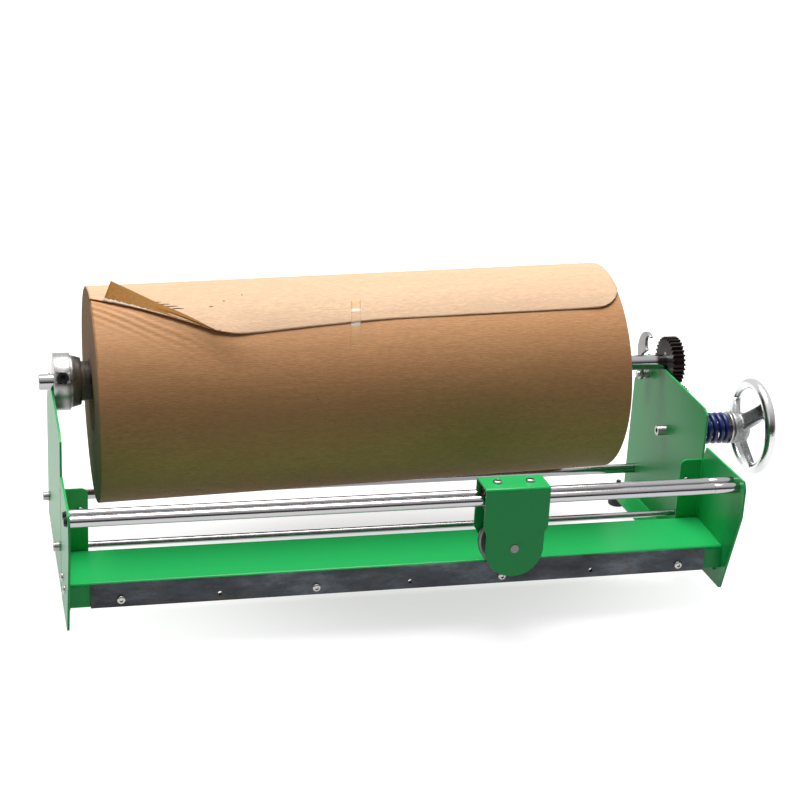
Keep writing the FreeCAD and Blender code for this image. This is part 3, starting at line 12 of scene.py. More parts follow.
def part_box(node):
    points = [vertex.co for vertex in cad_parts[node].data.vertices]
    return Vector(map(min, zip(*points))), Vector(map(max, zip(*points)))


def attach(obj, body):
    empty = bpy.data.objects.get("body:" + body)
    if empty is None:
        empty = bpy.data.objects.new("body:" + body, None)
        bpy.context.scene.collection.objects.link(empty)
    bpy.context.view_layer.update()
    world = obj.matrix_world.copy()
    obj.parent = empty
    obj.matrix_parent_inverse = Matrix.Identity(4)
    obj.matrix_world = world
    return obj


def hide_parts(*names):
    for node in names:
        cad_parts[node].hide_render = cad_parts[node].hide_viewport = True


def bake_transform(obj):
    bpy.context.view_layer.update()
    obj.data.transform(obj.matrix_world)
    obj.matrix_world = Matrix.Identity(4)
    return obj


bl_info = {
    "name": "Gift Wrap Cutter",
    "version": (1, 0, 0),
    "blender": (4, 5, 0),
    "location": "View3D > Sidebar > Cutter",
    "description": "Dresses the packed gift wrap cutter and sets it on a pale floor",
    "category": "Object",
}

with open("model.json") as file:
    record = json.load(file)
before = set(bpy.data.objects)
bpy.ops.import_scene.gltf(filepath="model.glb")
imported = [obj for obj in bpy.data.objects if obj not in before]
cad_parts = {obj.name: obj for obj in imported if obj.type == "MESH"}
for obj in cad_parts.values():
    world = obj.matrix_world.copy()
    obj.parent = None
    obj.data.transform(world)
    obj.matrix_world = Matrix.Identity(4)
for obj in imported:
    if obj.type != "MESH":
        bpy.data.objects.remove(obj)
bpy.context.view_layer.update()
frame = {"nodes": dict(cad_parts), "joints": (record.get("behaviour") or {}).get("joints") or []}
NODES = frame["nodes"]
MM = 0.001
WELD = 1e-6


def joint(name):
    """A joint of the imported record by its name."""
    return [item for item in frame["joints"] if item["name"] == name][0]


def colour(name, description, default):
    """A colour that a user can change."""
    return FloatVectorProperty(name=name, description=description, default=default,
                               subtype="COLOR", size=3, min=0.0, max=1.0)


def length(name, description, default):
    """A size in metres that a user can change."""
    return FloatProperty(name=name, description=description, default=default, unit="LENGTH")


# Sizes and colours that a user would change


class PaperSettings(bpy.types.PropertyGroup):
    """The roll of kraft paper and its loose outer turn."""

    paper: colour("Paper", "Outer face of the paper", (0.66, 0.335, 0.148))
    # The loose turn is the roll's paper drawn paler: painted light from the overhead lamp on the
    # roll's top
    loose: colour("Loose turn", "Outer face of the loose turn", (0.78, 0.515, 0.32))
    underside: colour("Underside", "Face of the folded corner", (0.34, 0.15, 0.025))
    torn: colour("Torn edge", "Pale fibres of a torn edge", (0.85, 0.72, 0.56))
    cut: colour("Cut edge", "Ends of the roll", (0.62, 0.40, 0.25))
    card: colour("Core", "Cardboard of the core tube", (0.30, 0.20, 0.12))
    ply: length("Ply", "Thickness of the loose turn as drawn", 0.4 * MM)
    lift: length("Lift", "Height of the loose turn's free edge over the roll", 0.8 * MM)
    swell: length("Swell", "How far the paper stands off under the folded corner", 5.5 * MM)
    ripple: length("Ripple", "Height of the creases below the folded corner", 0.9 * MM)
    fold_height: length("Fold height", "How far the folded corner's tip springs up", 13.0 * MM)
    edge_angle: FloatProperty(name="Free edge", description="Free edge, from the roll's top",
                              default=math.radians(38.2), subtype="ANGLE")
    layer_step: length("Layer step", "Unevenness of the turns at the roll's ends", 0.35 * MM)


class MetalSettings(bpy.types.PropertyGroup):
    """Coatings and bare metals."""

    green: colour("Green", "Powder coat of the sheet metal", (0.015, 0.455, 0.108))
    blade: colour("Blade", "Blued steel of the fixed blade", (0.050, 0.058, 0.068))
    bright: colour("Bright steel", "Turned and plated steel", (0.45, 0.44, 0.43))
    chrome: colour("Chrome", "Guide rods and mandrel", (0.43, 0.42, 0.43))
    black: colour("Black oxide", "Screws and studs", (0.025, 0.025, 0.028))
    gear: colour("Gear steel", "Oiled gears", (0.030, 0.020, 0.018))
    spring: colour("Spring", "Enamel of the brake spring", (0.003, 0.014, 0.13))
    edge_round: length("Edge rounding", "Rounding of the sheet metal's edges", 0.3 * MM)


class WheelSettings(bpy.types.PropertyGroup):
    """The cast handwheel."""

    metal: colour("Metal", "Cast aluminium", (0.66, 0.66, 0.67))
    rim: length("Rim", "Radius of the rim's section", 5.6 * MM)
    spokes: IntProperty(name="Spokes", description="Number of spokes", default=3)
    spoke_angle: FloatProperty(name="First spoke", description="First spoke above the rear",
                               default=math.radians(16.0), subtype="ANGLE")
    spoke_width: length("Spoke width", "Width of a spoke", 17.5 * MM)
    spoke_depth: length("Spoke depth", "Depth of a spoke", 7.5 * MM)
    spoke_edge: length("Spoke edge", "Rounding of a spoke's long edges", 1.8 * MM)
    voxel: length("Voxel", "Grain that melts the casting together", 0.8 * MM)


class StageSettings(bpy.types.PropertyGroup):
    """Floor, lamps and camera."""

    floor: colour("Floor", "Colour of the floor", (0.36, 0.36, 0.36))
    floor_glow: FloatProperty(name="Floor glow", description="White seen near the object",
                              default=0.66)
    key_power: FloatProperty(name="Key", description="Power of the overhead lamp", default=56.0,
                             unit="POWER")
    fill_power: FloatProperty(name="Fill", description="Power of the front lamp", default=1.2,
                              unit="POWER")
    sky: FloatProperty(name="Sky", description="Strength of the even light", default=0.07)
    lens: FloatProperty(name="Lens", description="Focal length", default=80.59,
                        unit="CAMERA")


# Materials: fixed colours, and the stretch behind the roll's top, in metres, over which the loose
# turn's paler colour, painted light from the overhead lamp, gives way to the roll's own colour


PAINTED_LIGHT_FADE = (0.010, 0.036)
WHITE = (1.0, 1.0, 1.0)
BLADE_RUST = (0.085, 0.062, 0.045)
BRONZE = (0.50, 0.30, 0.12)
FRICTION_LINING = (0.05, 0.042, 0.035)
BLACK_PLASTIC = (0.02, 0.02, 0.021)
RUBBER = (0.012, 0.012, 0.012)
NUT_ZINC = (0.60, 0.60, 0.59)
SCREW_ZINC = (0.44, 0.43, 0.41)
TORN_SHADOW = (0.045, 0.02, 0.01)
TAPE_YELLOW = (0.86, 0.60, 0.28)


class Nodes:
    """Short calls for the nodes of a material or of the world."""

    def __init__(self, tree):
        self.tree = tree

    def node(self, kind, **values):
        made = self.tree.nodes.new("ShaderNode" + kind)
        for name, value in values.items():
            setattr(made, name, value)
        return made

    def link(self, start, end):
        self.tree.links.new(start, end)

    def feed(self, socket, value):
        """Links a socket to another one, or sets it to a number or a colour."""
        if isinstance(value, bpy.types.NodeSocket):
            self.link(value, socket)
        elif socket.type == "RGBA":
            socket.default_value = (*value, 1.0)
        else:
            socket.default_value = value

    def calculate(self, operation, *values):
        """The result of a Math node."""
        made = self.node("Math", operation=operation)
        for socket, value in zip(made.inputs, values):
            self.feed(socket, value)
        return made.outputs["Value"]

    def between(self, value, low, high, out=(0.0, 1.0), curve="LINEAR"):
        """A number that goes through out while a value goes from low to high."""
        made = self.node("MapRange", interpolation_type=curve)
        names = ("Value", "From Min", "From Max", "To Min", "To Max")
        for name, number in zip(names, (value, low, high, *out)):
            self.feed(made.inputs[name], number)
        return made.outputs["Result"]


class Paint(Nodes):
    """A new material with short calls for its shader and its textures."""

    def __init__(self, name, **values):
        self.material = bpy.data.materials.new(name)
        self.material.use_nodes = True
        super().__init__(self.material.node_tree)
        self.shader = self.tree.nodes["Principled BSDF"]
        for label, value in values.items():
            self.feed(self.shader.inputs[label.replace("_", " ")], value)

    def coordinates(self, scale=(1, 1, 1), place=(0, 0, 0), turn=(0, 0, 0)):
        """Object coordinates, moved and turned first and scaled after."""
        moved = self.node("Mapping", vector_type="TEXTURE")
        moved.inputs["Location"].default_value = place
        moved.inputs["Rotation"].default_value = turn
        self.link(self.node("TexCoord").outputs["Object"], moved.inputs["Vector"])
        return self.scaled(moved.outputs["Vector"], scale)

    def scaled(self, vector, scale):
        made = self.node("Mapping", vector_type="POINT")
        made.inputs["Scale"].default_value = scale
        self.link(vector, made.inputs["Vector"])
        return made.outputs["Vector"]

    def parts(self, vector):
        """The X, Y and Z of a vector."""
        made = self.node("SeparateXYZ")
        self.link(vector, made.inputs["Vector"])
        return made.outputs

    def distance(self, vector):
        made = self.node("VectorMath", operation="LENGTH")
        self.link(vector, made.inputs[0])
        return made.outputs["Value"]

    def radius(self, vector):
        """Distance of a place from the X axis."""
        places = self.parts(vector)
        flat = self.node("CombineXYZ")
        for axis in "YZ":
            self.link(places[axis], flat.inputs[axis])
        return self.distance(flat.outputs["Vector"])

    def noise(self, vector, scale, detail=3.0, roughness=0.5):
        made = self.node("TexNoise")
        made.inputs["Scale"].default_value = scale
        made.inputs["Detail"].default_value = detail
        made.inputs["Roughness"].default_value = roughness
        self.link(vector, made.inputs["Vector"])
        return made.outputs["Fac"]

    def ramp(self, factor, stops):
        """A colour, or a number as a grey, by a factor from 0 to 1."""
        made = self.node("ValToRGB")
        elements = made.color_ramp.elements
        while len(elements) < len(stops):
            elements.new(0.5)
        for element, (place, value) in zip(elements, stops):
            channels = (value,) * 3 if isinstance(value, float) else value
            element.position = place
            element.color = (*channels, 1.0)
        self.link(factor, made.inputs["Fac"])
        return made.outputs["Color"]

    def mix(self, factor, first, second):
        made = self.node("Mix", data_type="RGBA")
        for index, value in ((0, factor), (6, first), (7, second)):
            self.feed(made.inputs[index], value)
        return made.outputs[2]

    def bump(self, height, strength, distance):
        made = self.node("Bump")
        self.feed(made.inputs["Strength"], strength)
        made.inputs["Distance"].default_value = distance
        self.link(height, made.inputs["Height"])
        self.link(made.outputs["Normal"], self.shader.inputs["Normal"])

    def colour_from(self, socket):
        self.link(socket, self.shader.inputs["Base Color"])

    def roughness_from(self, socket):
        self.link(socket, self.shader.inputs["Roughness"])


def shade(value, factor):
    """A colour made darker or lighter."""
    return tuple(min(channel * factor, 1.0) for channel in value)


def powder_coat(base):
    """Satin powder coat with a fine grain."""
    paint = Paint("green_powder_coat", Base_Color=base, Roughness=0.34, Specular_IOR_Level=0.26)
    grain = paint.noise(paint.coordinates(), 900.0, 2.0)
    paint.bump(grain, 0.10, 0.0002)
    return paint.material


def plain_paint(name, base, roughness, coat=0.0):
    """One even colour."""
    return Paint(name, Base_Color=base, Roughness=roughness, Coat_Weight=coat).material


def plain_metal(name, base, roughness, grain_scale=(1, 1, 1), grain=0.0, metallic=1.0):
    """A metal whose roughness and shade vary a little along its grain."""
    paint = Paint(name, Base_Color=base, Roughness=roughness, Metallic=metallic)
    if grain:
        lines = paint.noise(paint.coordinates(grain_scale), 60.0, 4.0, 0.7)
        paint.colour_from(paint.ramp(lines, [(0.25, shade(base, 1 - grain)), (0.75, base)]))
        low = max(roughness - grain * 0.4, 0.05)
        paint.roughness_from(paint.ramp(lines, [(0.3, low), (0.8, roughness + grain * 0.4)]))
        paint.bump(lines, 0.15, 0.0002)
    return paint.material


def blued_blade(base):
    """Dark blued bar stock with scale, lighter scuffs and brown traces."""
    paint = Paint("blued_blade_steel", Metallic=0.6, Roughness=0.42)
    broad = paint.noise(paint.coordinates((1.0, 1.0, 3.0)), 11.0, 7.0, 0.7)
    tones = paint.ramp(broad, [(0.36, shade(base, 0.30)), (0.52, base), (0.66, shade(base, 2.6))])
    spots = paint.noise(paint.coordinates((1.0, 1.0, 2.5)), 45.0, 5.0, 0.7)
    rust = paint.ramp(spots, [(0.54, 0.0), (0.70, 0.6)])
    paint.colour_from(paint.mix(rust, tones, BLADE_RUST))
    paint.roughness_from(paint.ramp(broad, [(0.3, 0.32), (0.7, 0.55)]))
    paint.bump(spots, 0.12, 0.0003)
    return paint.material


def kraft(name, base, place, turn, held=None):
    """Kraft paper: short flecks along the roll, longer streaks, soft clouds, dark specks.

    With held, the paper takes on that colour towards the rear of the roll, where a paler base,
    painted light from the overhead lamp on the roll's top, gives way to the paper's own colour.
    """
    paint = Paint(name, Roughness=0.60, Specular_IOR_Level=0.25)
    flecks = paint.noise(paint.coordinates((150.0, 900.0, 900.0), place, turn), 1.0, 3.0, 0.6)
    streaks = paint.noise(paint.coordinates((28.0, 330.0, 330.0), place, turn), 1.0, 3.0, 0.6)
    clouds = paint.noise(paint.coordinates((9.0, 26.0, 26.0), place, turn), 1.0, 3.0)
    specks = paint.noise(paint.coordinates((420.0, 520.0, 520.0), place, turn), 1.0, 1.0)
    flecked = paint.mix(paint.ramp(flecks, [(0.36, 0.0), (0.64, 1.0)]), shade(base, 0.84),
                        shade(base, 1.10))
    streaked = paint.mix(paint.ramp(streaks, [(0.35, 0.0), (0.70, 0.40)]), flecked,
                         shade(base, 0.74))
    clouded = paint.mix(paint.ramp(clouds, [(0.35, 0.0), (0.7, 0.35)]), streaked,
                        shade(base, 0.76))
    speckled = paint.mix(paint.ramp(specks, [(0.77, 0.0), (0.80, 0.55)]), clouded,
                         shade(base, 0.25))
    if held:
        rear = paint.parts(paint.coordinates((1, 1, 1), place, turn))["Y"]
        toned = paint.node("VectorMath", operation="MULTIPLY")
        toned.inputs[1].default_value = tuple(new / old for new, old in zip(held, base))
        paint.link(speckled, toned.inputs[0])
        fade = paint.between(rear, *PAINTED_LIGHT_FADE, curve="SMOOTHSTEP")
        speckled = paint.mix(fade, speckled, toned.outputs["Vector"])
    paint.colour_from(speckled)
    paint.bump(flecks, 0.45, 0.0005)
    return paint.material


def folded_kraft(base, torn):
    """The folded corner's face, with pale fibres along its crease, by the piece's own map."""
    paint = Paint("kraft_paper_fold", Roughness=0.6, Specular_IOR_Level=0.12)
    place = paint.node("TexCoord").outputs["UV"]
    along_and_away = paint.parts(place)
    rough = paint.noise(paint.scaled(place, (34.0, 11.0, 1.0)), 1.0, 4.0, 0.7)
    border = paint.calculate("MULTIPLY_ADD", along_and_away["X"], 0.14, along_and_away["Y"])
    border = paint.calculate("MULTIPLY_ADD", rough, -0.26, border)
    edge = paint.ramp(border, [(0.0, 1.0), (0.02, 0.0)])
    tones = paint.ramp(rough, [(0.25, shade(base, 0.62)), (0.55, base), (0.8, shade(base, 1.35))])
    paint.colour_from(paint.mix(edge, tones, torn))
    paint.bump(rough, 0.3, 0.0006)
    return paint.material


def cut_paper(base, place, turn):
    """The roll's ends: many turns of paper as fine rings."""
    paint = Paint("kraft_paper_cut_edge", Roughness=0.85, Specular_IOR_Level=0.2)
    row = paint.node("CombineXYZ")
    paint.link(paint.radius(paint.coordinates((1, 1, 1), place, turn)), row.inputs["X"])
    turns = paint.noise(row.outputs["Vector"], 620.0, 4.0, 0.75)
    paint.colour_from(paint.ramp(turns, [(0.28, shade(base, 0.38)), (0.45, shade(base, 0.78)),
                                         (0.62, base), (0.8, shade(base, 1.2))]))
    paint.bump(turns, 0.5, 0.0006)
    return paint.material


def clear_tape_painted_glints():
    """Clear tape: faintly yellow, with two white bands across it that are painted glints, by its
    own map.
    """
    paint = Paint("clear_tape_painted_glints", Roughness=0.45)
    down = paint.parts(paint.node("TexCoord").outputs["UV"])["Y"]
    crumple = paint.noise(paint.coordinates((110.0, 40.0, 40.0)), 1.0, 0.0)
    along = paint.calculate("MULTIPLY_ADD", crumple, 0.05, down)
    # The white bands, with more opacity, are painted glints of light on the tape
    paint.colour_from(paint.ramp(along, [(0.22, TAPE_YELLOW), (0.27, WHITE), (0.33, TAPE_YELLOW),
                                         (0.52, TAPE_YELLOW), (0.56, WHITE), (0.62, TAPE_YELLOW)]))
    seen = paint.ramp(along, [(0.22, 0.34), (0.27, 0.75), (0.33, 0.14), (0.52, 0.12),
                              (0.56, 0.60), (0.62, 0.22), (0.95, 0.05)])
    paint.link(seen, paint.shader.inputs["Alpha"])
    return paint.material


def cast_wheel(base, centre, rough_to, bright_from):
    """Sand-cast aluminium in the middle and a polished rim, by the distance from the axis."""
    paint = Paint("cast_aluminium", Metallic=1.0)
    away = paint.radius(paint.coordinates((1, 1, 1), centre))
    polished = paint.between(away, rough_to, bright_from)
    sand = paint.noise(paint.coordinates(), 420.0, 4.0, 0.7)
    cast = paint.ramp(sand, [(0.30, shade(base, 0.26)), (0.70, shade(base, 0.66))])
    paint.colour_from(paint.mix(polished, cast, base))
    paint.roughness_from(paint.mix(polished, (0.46, 0.46, 0.46), (0.17, 0.17, 0.17)))
    paint.bump(sand, paint.calculate("MULTIPLY_ADD", polished, -0.45, 0.5), 0.0008)
    return paint.material


def give(material, *names):
    """Gives CAD nodes a material."""
    for name in names:
        mesh = NODES[name].data
        mesh.materials.clear()
        mesh.materials.append(material)


def dress(material, names, width, segments=2):
    """Gives CAD nodes a material and rounds their sharp edges."""
    give(material, *names)
    for name in names:
        weld = NODES[name].modifiers.new("weld", "WELD")
        weld.merge_threshold = WELD
        bevel = NODES[name].modifiers.new("round", "BEVEL")
        bevel.width = width
        bevel.segments = segments
        bevel.limit_method = "ANGLE"
        bevel.angle_limit = math.radians(35.0)
        bevel.harden_normals = False


# Measures taken from the frame, and meshes


def merged_copy(node):
    """A copy of a CAD node's mesh with its loose triangles joined."""
    bm = bmesh.new()
    bm.from_mesh(NODES[node].data)
    bmesh.ops.remove_doubles(bm, verts=bm.verts, dist=WELD)
    return bm


def reach(starts):
    """All vertices joined to the given ones."""
    found = {vert for vert in starts if vert.is_valid}
    edge = set(found)
    while edge:
        edge = {other for vert in edge for link in vert.link_edges for other in link.verts} - found
        found |= edge
    return found


def solids_of(node):
    """Low and high corner of each separate solid of a CAD node."""
    bm = merged_copy(node)
    waiting = set(bm.verts)
    boxes = []
    while waiting:
        found = reach([waiting.pop()])
        waiting -= found
        places = [vert.co for vert in found]
        boxes.append((Vector(map(min, *places)), Vector(map(max, *places))))
    bm.free()
    return sorted(boxes, key=lambda box: tuple(box[0]))


class Turned:
    """A node that is round about a joint's axis: its start, end and radii."""

    def __init__(self, node, joint_name):
        place = Vector(joint(joint_name)["pos_m"])
        axis = Vector(joint(joint_name)["axis"]).normalized()
        rows = [vert.co - place for vert in NODES[node].data.vertices]
        along = [row.dot(axis) for row in rows]
        radii = [(row - axis * step).length for row, step in zip(rows, along)]
        self.length = max(along) - min(along)
        self.outer = max(radii)
        self.inner = min(radii)
        self.start = place + axis * min(along)
        side = axis.cross(Vector((0, 0, 1))).normalized()
        up = side.cross(axis)
        # The roll's own axes: X along the axis, Y to the rear and Z up
        turned = Matrix((axis, -side, up)).transposed().to_4x4()
        self.matrix = Matrix.Translation(self.start) @ turned
        self.tilt = math.asin(axis.z)


def make_object(bm, name, material, body, replaces=(), sharp=40.0):
    """Finishes a piece: a smooth mesh object that rides on a CAD body."""
    bmesh.ops.recalc_face_normals(bm, faces=bm.faces)
    mesh = bpy.data.meshes.new(name)
    bm.to_mesh(mesh)
    bm.free()
    mesh.materials.append(material)
    mesh.shade_smooth()
    mesh.set_sharp_from_angle(angle=math.radians(sharp))
    made = bpy.data.objects.new(name, mesh)
    bpy.context.scene.collection.objects.link(made)
    if body:
        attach(made, body)
    if replaces:
        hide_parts(*replaces)
    return made


def add_spun(bm, profile, steps, matrix):
    """Spins a closed profile of (along, radius) about local X and places it."""
    verts = [bm.verts.new((along, 0, radius)) for along, radius in profile]
    edges = [bm.edges.new(pair) for pair in zip(verts, verts[1:] + verts[:1])]
    bmesh.ops.spin(bm, geom=verts + edges, cent=(0, 0, 0), axis=(1, 0, 0), dvec=(0, 0, 0),
                   angle=math.tau, steps=steps, use_merge=True, use_duplicate=False)
    joined = reach(verts)
    group = [vert for vert in bm.verts if vert in joined]
    bmesh.ops.remove_doubles(bm, verts=group, dist=WELD)
    bmesh.ops.transform(bm, matrix=matrix, verts=[vert for vert in group if vert.is_valid])
def looking(direction):
    """Matrix that turns local X to a direction."""
    return direction.to_track_quat("X", "Z").to_matrix().to_4x4()


def arc(centre, radius, start, end, steps):
    """Points of an arc in (along, radius), angles in degrees from the along axis."""
    points = []
    for index in range(steps + 1):
        angle = math.radians(start + (end - start) * index / steps)
        points.append((centre[0] + radius * math.cos(angle), centre[1] + radius * math.sin(angle)))
    return points


# Operators, one for each piece or group of like pieces


class CUTTER_OT_sheet_metal(bpy.types.Operator):
    """Powder coats the side plates, wings, table and carriage housing"""

    bl_idname = "cutter.sheet_metal"
    bl_label = "Sheet metal"

    def execute(self, context):
        settings = context.scene.cutter_metal
        names = ("left_side_plate", "right_side_plate", "left_wing_plate", "right_wing_plate",
                 "cutting_table", "carriage_housing")
        dress(powder_coat(settings.green), names, settings.edge_round)
        return {"FINISHED"}


class CUTTER_OT_blade(bpy.types.Operator):
    """Finishes the fixed blade"""

    bl_idname = "cutter.blade"
    bl_label = "Fixed blade"

    def execute(self, context):
        give(blued_blade(context.scene.cutter_metal.blade), "fixed_blade")
        return {"FINISHED"}


class CUTTER_OT_rods(bpy.types.Operator):
    """Polishes the guide rods, cross bars and the mandrel"""

    bl_idname = "cutter.rods"
    bl_label = "Rods and mandrel"

    def execute(self, context):
        settings = context.scene.cutter_metal
        edge = settings.edge_round
        rod = plain_metal("ground_chrome", settings.chrome, 0.12)
        dress(rod, ("guide_rod_spacers", "mandrel_shaft"), edge)
        for name in ("front_guide_rod", "rear_guide_rod", "paper_rod", "rear_tie_bar"):
            low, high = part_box(name)
            radius = (high.z - low.z) / 2
            long = high.x - low.x
            profile = [(0.0, 0.0), (0.0, radius - edge), (edge, radius), (long - edge, radius),
                       (long, radius - edge), (long, 0.0)]
            bm = bmesh.new()
            place = Matrix.Translation((low.x, (low.y + high.y) / 2, (low.z + high.z) / 2))
            add_spun(bm, profile, 64, place)
            make_object(bm, name + "_ground", rod, "frame", (name,))
        return {"FINISHED"}


class CUTTER_OT_turned_steel(bpy.types.Operator):
    """Finishes collars, plugs, washers, the latch, the cutter wheel and its axle"""

    bl_idname = "cutter.turned_steel"
    bl_label = "Turned steel"

    def execute(self, context):
        settings = context.scene.cutter_metal
        bright = settings.bright
        turned = plain_metal("turned_steel", bright, 0.34, (9, 1, 1), 0.22)
        names = ("left_collar", "right_collar", "left_core_plug", "right_core_plug",
                 "pressure_plate", "thrust_washer", "shaft_retaining_ring", "axle_spacers",
                 "gear_key", "brake_stud", "latch_pivot_bolt", "latch_nut", "latch_washer",
                 "wheel_bearing", "paper_rod_screws", "tie_bar_screws")
        dress(turned, names, settings.edge_round)
        wheel = plain_metal("cutter_wheel_steel", shade(bright, 0.4), 0.38, (1, 6, 1), 0.25)
        dress(wheel, ("cutter_wheel", "cutter_axle"), settings.edge_round)
        latch = plain_metal("latch_steel", shade(bright, 0.75), 0.4, (1, 1, 1), 0.2)
        dress(latch, ("shaft_latch",), settings.edge_round)
        return {"FINISHED"}


class CUTTER_OT_brake(bpy.types.Operator):
    """Finishes the gears, the bushes, the brake's discs and its spring"""

    bl_idname = "cutter.brake"
    bl_label = "Gears and brake"

    def execute(self, context):
        settings = context.scene.cutter_metal
        gear = plain_metal("oiled_gear_steel", settings.gear, 0.42, (1, 1, 1), 0.3, 0.8)
        dress(gear, ("drive_gear", "brake_gear"), settings.edge_round * 0.6, 1)
        give(plain_metal("bronze", BRONZE, 0.35), "brake_gear_bush", "slider_bushes")
        give(plain_paint("friction_lining", FRICTION_LINING, 0.9), "inner_friction_disc",
             "outer_friction_disc")
        self.make_spring(plain_paint("blue_enamel", settings.spring, 0.32, 0.1))
        return {"FINISHED"}

    def make_spring(self, enamel):
        """The brake spring as a piece of its own, with the CAD node's shape."""
        made = make_object(merged_copy("brake_spring"), "brake_spring_enamelled", enamel, None,
                           ("brake_spring",), 60.0)
        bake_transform(made)


class CUTTER_OT_black_parts(bpy.types.Operator):
    """Blackens the socket screws and the slider block, and plates the nuts"""

    bl_idname = "cutter.black_parts"
    bl_label = "Black parts"

    def execute(self, context):
        settings = context.scene.cutter_metal
        black = plain_metal("black_oxide", settings.black, 0.35, metallic=0.6)
        names = ("guide_rod_screws", "left_set_screw", "right_set_screw", "foot_studs")
        dress(black, names, settings.edge_round)
        give(plain_paint("black_plastic", BLACK_PLASTIC, 0.45), "slider_block")
        give(plain_metal("zinc_plate", NUT_ZINC, 0.3), "blade_nuts", "flange_nuts", "axle_nut",
             "foot_nuts")
        return {"FINISHED"}


# Screws and feet: each screw's body and the way that its head faces, which is outwards where
# none is given, sizes in millimetres, and parts of the head's height and radius


HEADS = {
    "blade_screws": ("frame", (0, -1, 0)),
    "flange_screws": ("frame", (0, -1, 0)),
    "housing_screws": ("carriage", (0, 0, 1)),
    "table_screws": ("frame", None),
}
HEAD_HEIGHT = 2.3
SHANK_RADIUS = 2.0
DOME_HEIGHT = 0.75
SOCKET_RADIUS = 0.46
SOCKET_RIM = 1.08
SOCKET_RIM_DEPTH = 0.03
SOCKET_DEPTH = 0.6
FOOT_CORNER = 1.6
FOOT_TAPER = 0.92


def add_button_screw(bm, low, high, direction):
    """A button-head screw with a round socket, its head's top at the box's outer end."""
    middle = (low + high) / 2
    size = high - low
    reach_out = abs(direction.dot(size)) / 2
    top = middle + direction * reach_out
    tall = HEAD_HEIGHT * MM
    shank = SHANK_RADIUS * MM
    radius = max(size.dot(Vector((1, 1, 1)) - Vector(map(abs, direction))) / 4, shank)
    end = -reach_out * 2
    dome = tall * DOME_HEIGHT
    socket = radius * SOCKET_RADIUS
    rim = socket * SOCKET_RIM
    profile = [(-tall * SOCKET_DEPTH, 0.0), (-tall * SOCKET_DEPTH, socket),
               (-tall * SOCKET_RIM_DEPTH, socket), (0.0, rim)]
    for step in range(1, 6):
        turn = step / 6 * math.pi / 2
        profile.append((-dome * (1 - math.cos(turn)), rim + (radius - rim) * math.sin(turn)))
    profile += [(-dome, radius), (-tall, radius), (-tall, shank), (end, shank), (end, 0.0)]
    add_spun(bm, profile, 24, Matrix.Translation(top) @ looking(direction))


class CUTTER_OT_button_screws(bpy.types.Operator):
    """Makes the small domed screws of the blade, wings, table and carriage"""

    bl_idname = "cutter.button_screws"
    bl_label = "Button screws"

    def execute(self, context):
        zinc = plain_metal("bright_zinc", SCREW_ZINC, 0.24)
        for node, (body, direction) in HEADS.items():
            bm = bmesh.new()
            for low, high in solids_of(node):
                way = Vector(direction) if direction else Vector((-1 if low.x < 0 else 1, 0, 0))
                add_button_screw(bm, low, high, way)
            make_object(bm, node + "_domed", zinc, body, (node,), 35.0)
        return {"FINISHED"}


class CUTTER_OT_feet(bpy.types.Operator):
    """Makes the four rubber feet"""

    bl_idname = "cutter.feet"
    bl_label = "Rubber feet"

    def execute(self, context):
        rubber = plain_paint("foot_rubber", RUBBER, 0.6)
        corner = FOOT_CORNER * MM
        bm = bmesh.new()
        for low, high in solids_of("rubber_feet"):
            radius = (high.x - low.x) / 2
            tall = high.z - low.z
            profile = [(0.0, 0.0)]
            profile += arc((corner, radius * FOOT_TAPER - corner), corner, 180, 90, 4)
            profile += arc((tall - corner, radius - corner), corner, 90, 0, 4)
            profile += [(tall, 0.0)]
            place = Matrix.Translation(((low.x + high.x) / 2, (low.y + high.y) / 2, low.z))
            add_spun(bm, profile, 40, place @ looking(Vector((0, 0, 1))))
        make_object(bm, "rubber_feet_moulded", rubber, "frame", ("rubber_feet",))
        return {"FINISHED"}


ROLL_RINGS = 44
ROLL_CORNER = 0.8


class CUTTER_OT_paper_roll(bpy.types.Operator):
    """Makes the paper roll with its uneven ends, and dresses the core tube"""

    bl_idname = "cutter.paper_roll"
    bl_label = "Paper roll"

    def execute(self, context):
        settings = context.scene.cutter_paper
        roll = Turned("paper_roll", "roll_spin")
        turn = (0.0, -roll.tilt, 0.0)
        outer = kraft("kraft_paper", settings.paper, roll.start, turn)
        edge = cut_paper(settings.cut, roll.start, turn)
        give(plain_paint("core_card", settings.card, 0.85), "core_tube")
        corner = ROLL_CORNER * MM
        near = []
        for index in range(ROLL_RINGS + 1):
            radius = roll.inner + (roll.outer - corner - roll.inner) * index / ROLL_RINGS
            uneven = noise.noise((index * 0.37, 0.5, 0.0)) * 0.5 + 0.5
            near.append((settings.layer_step * uneven, radius))
        far = [(roll.length - along, radius) for along, radius in reversed(near)]
        near_round = arc((corner, roll.outer - corner), corner, 180, 90, 4)[1:]
        far_round = arc((roll.length - corner, roll.outer - corner), corner, 90, 0, 4)[:-1]
        bm = bmesh.new()
        add_spun(bm, near + near_round + far_round + far, 192, Matrix.Identity(4))
        for face in bm.faces:
            face.material_index = 1 if abs(face.normal.x) > 0.7 else 0
        bmesh.ops.transform(bm, matrix=roll.matrix, verts=bm.verts)
        made = make_object(bm, "paper_roll_wound", outer, "roll", ("paper_roll",))
        made.data.materials.append(edge)
        return {"FINISHED"}


# The loose turn: places, sizes and heights in millimetres, along the roll and round it from
# the top. Its corner is folded along the line from FOLD_LEFT to FOLD_RIGHT.


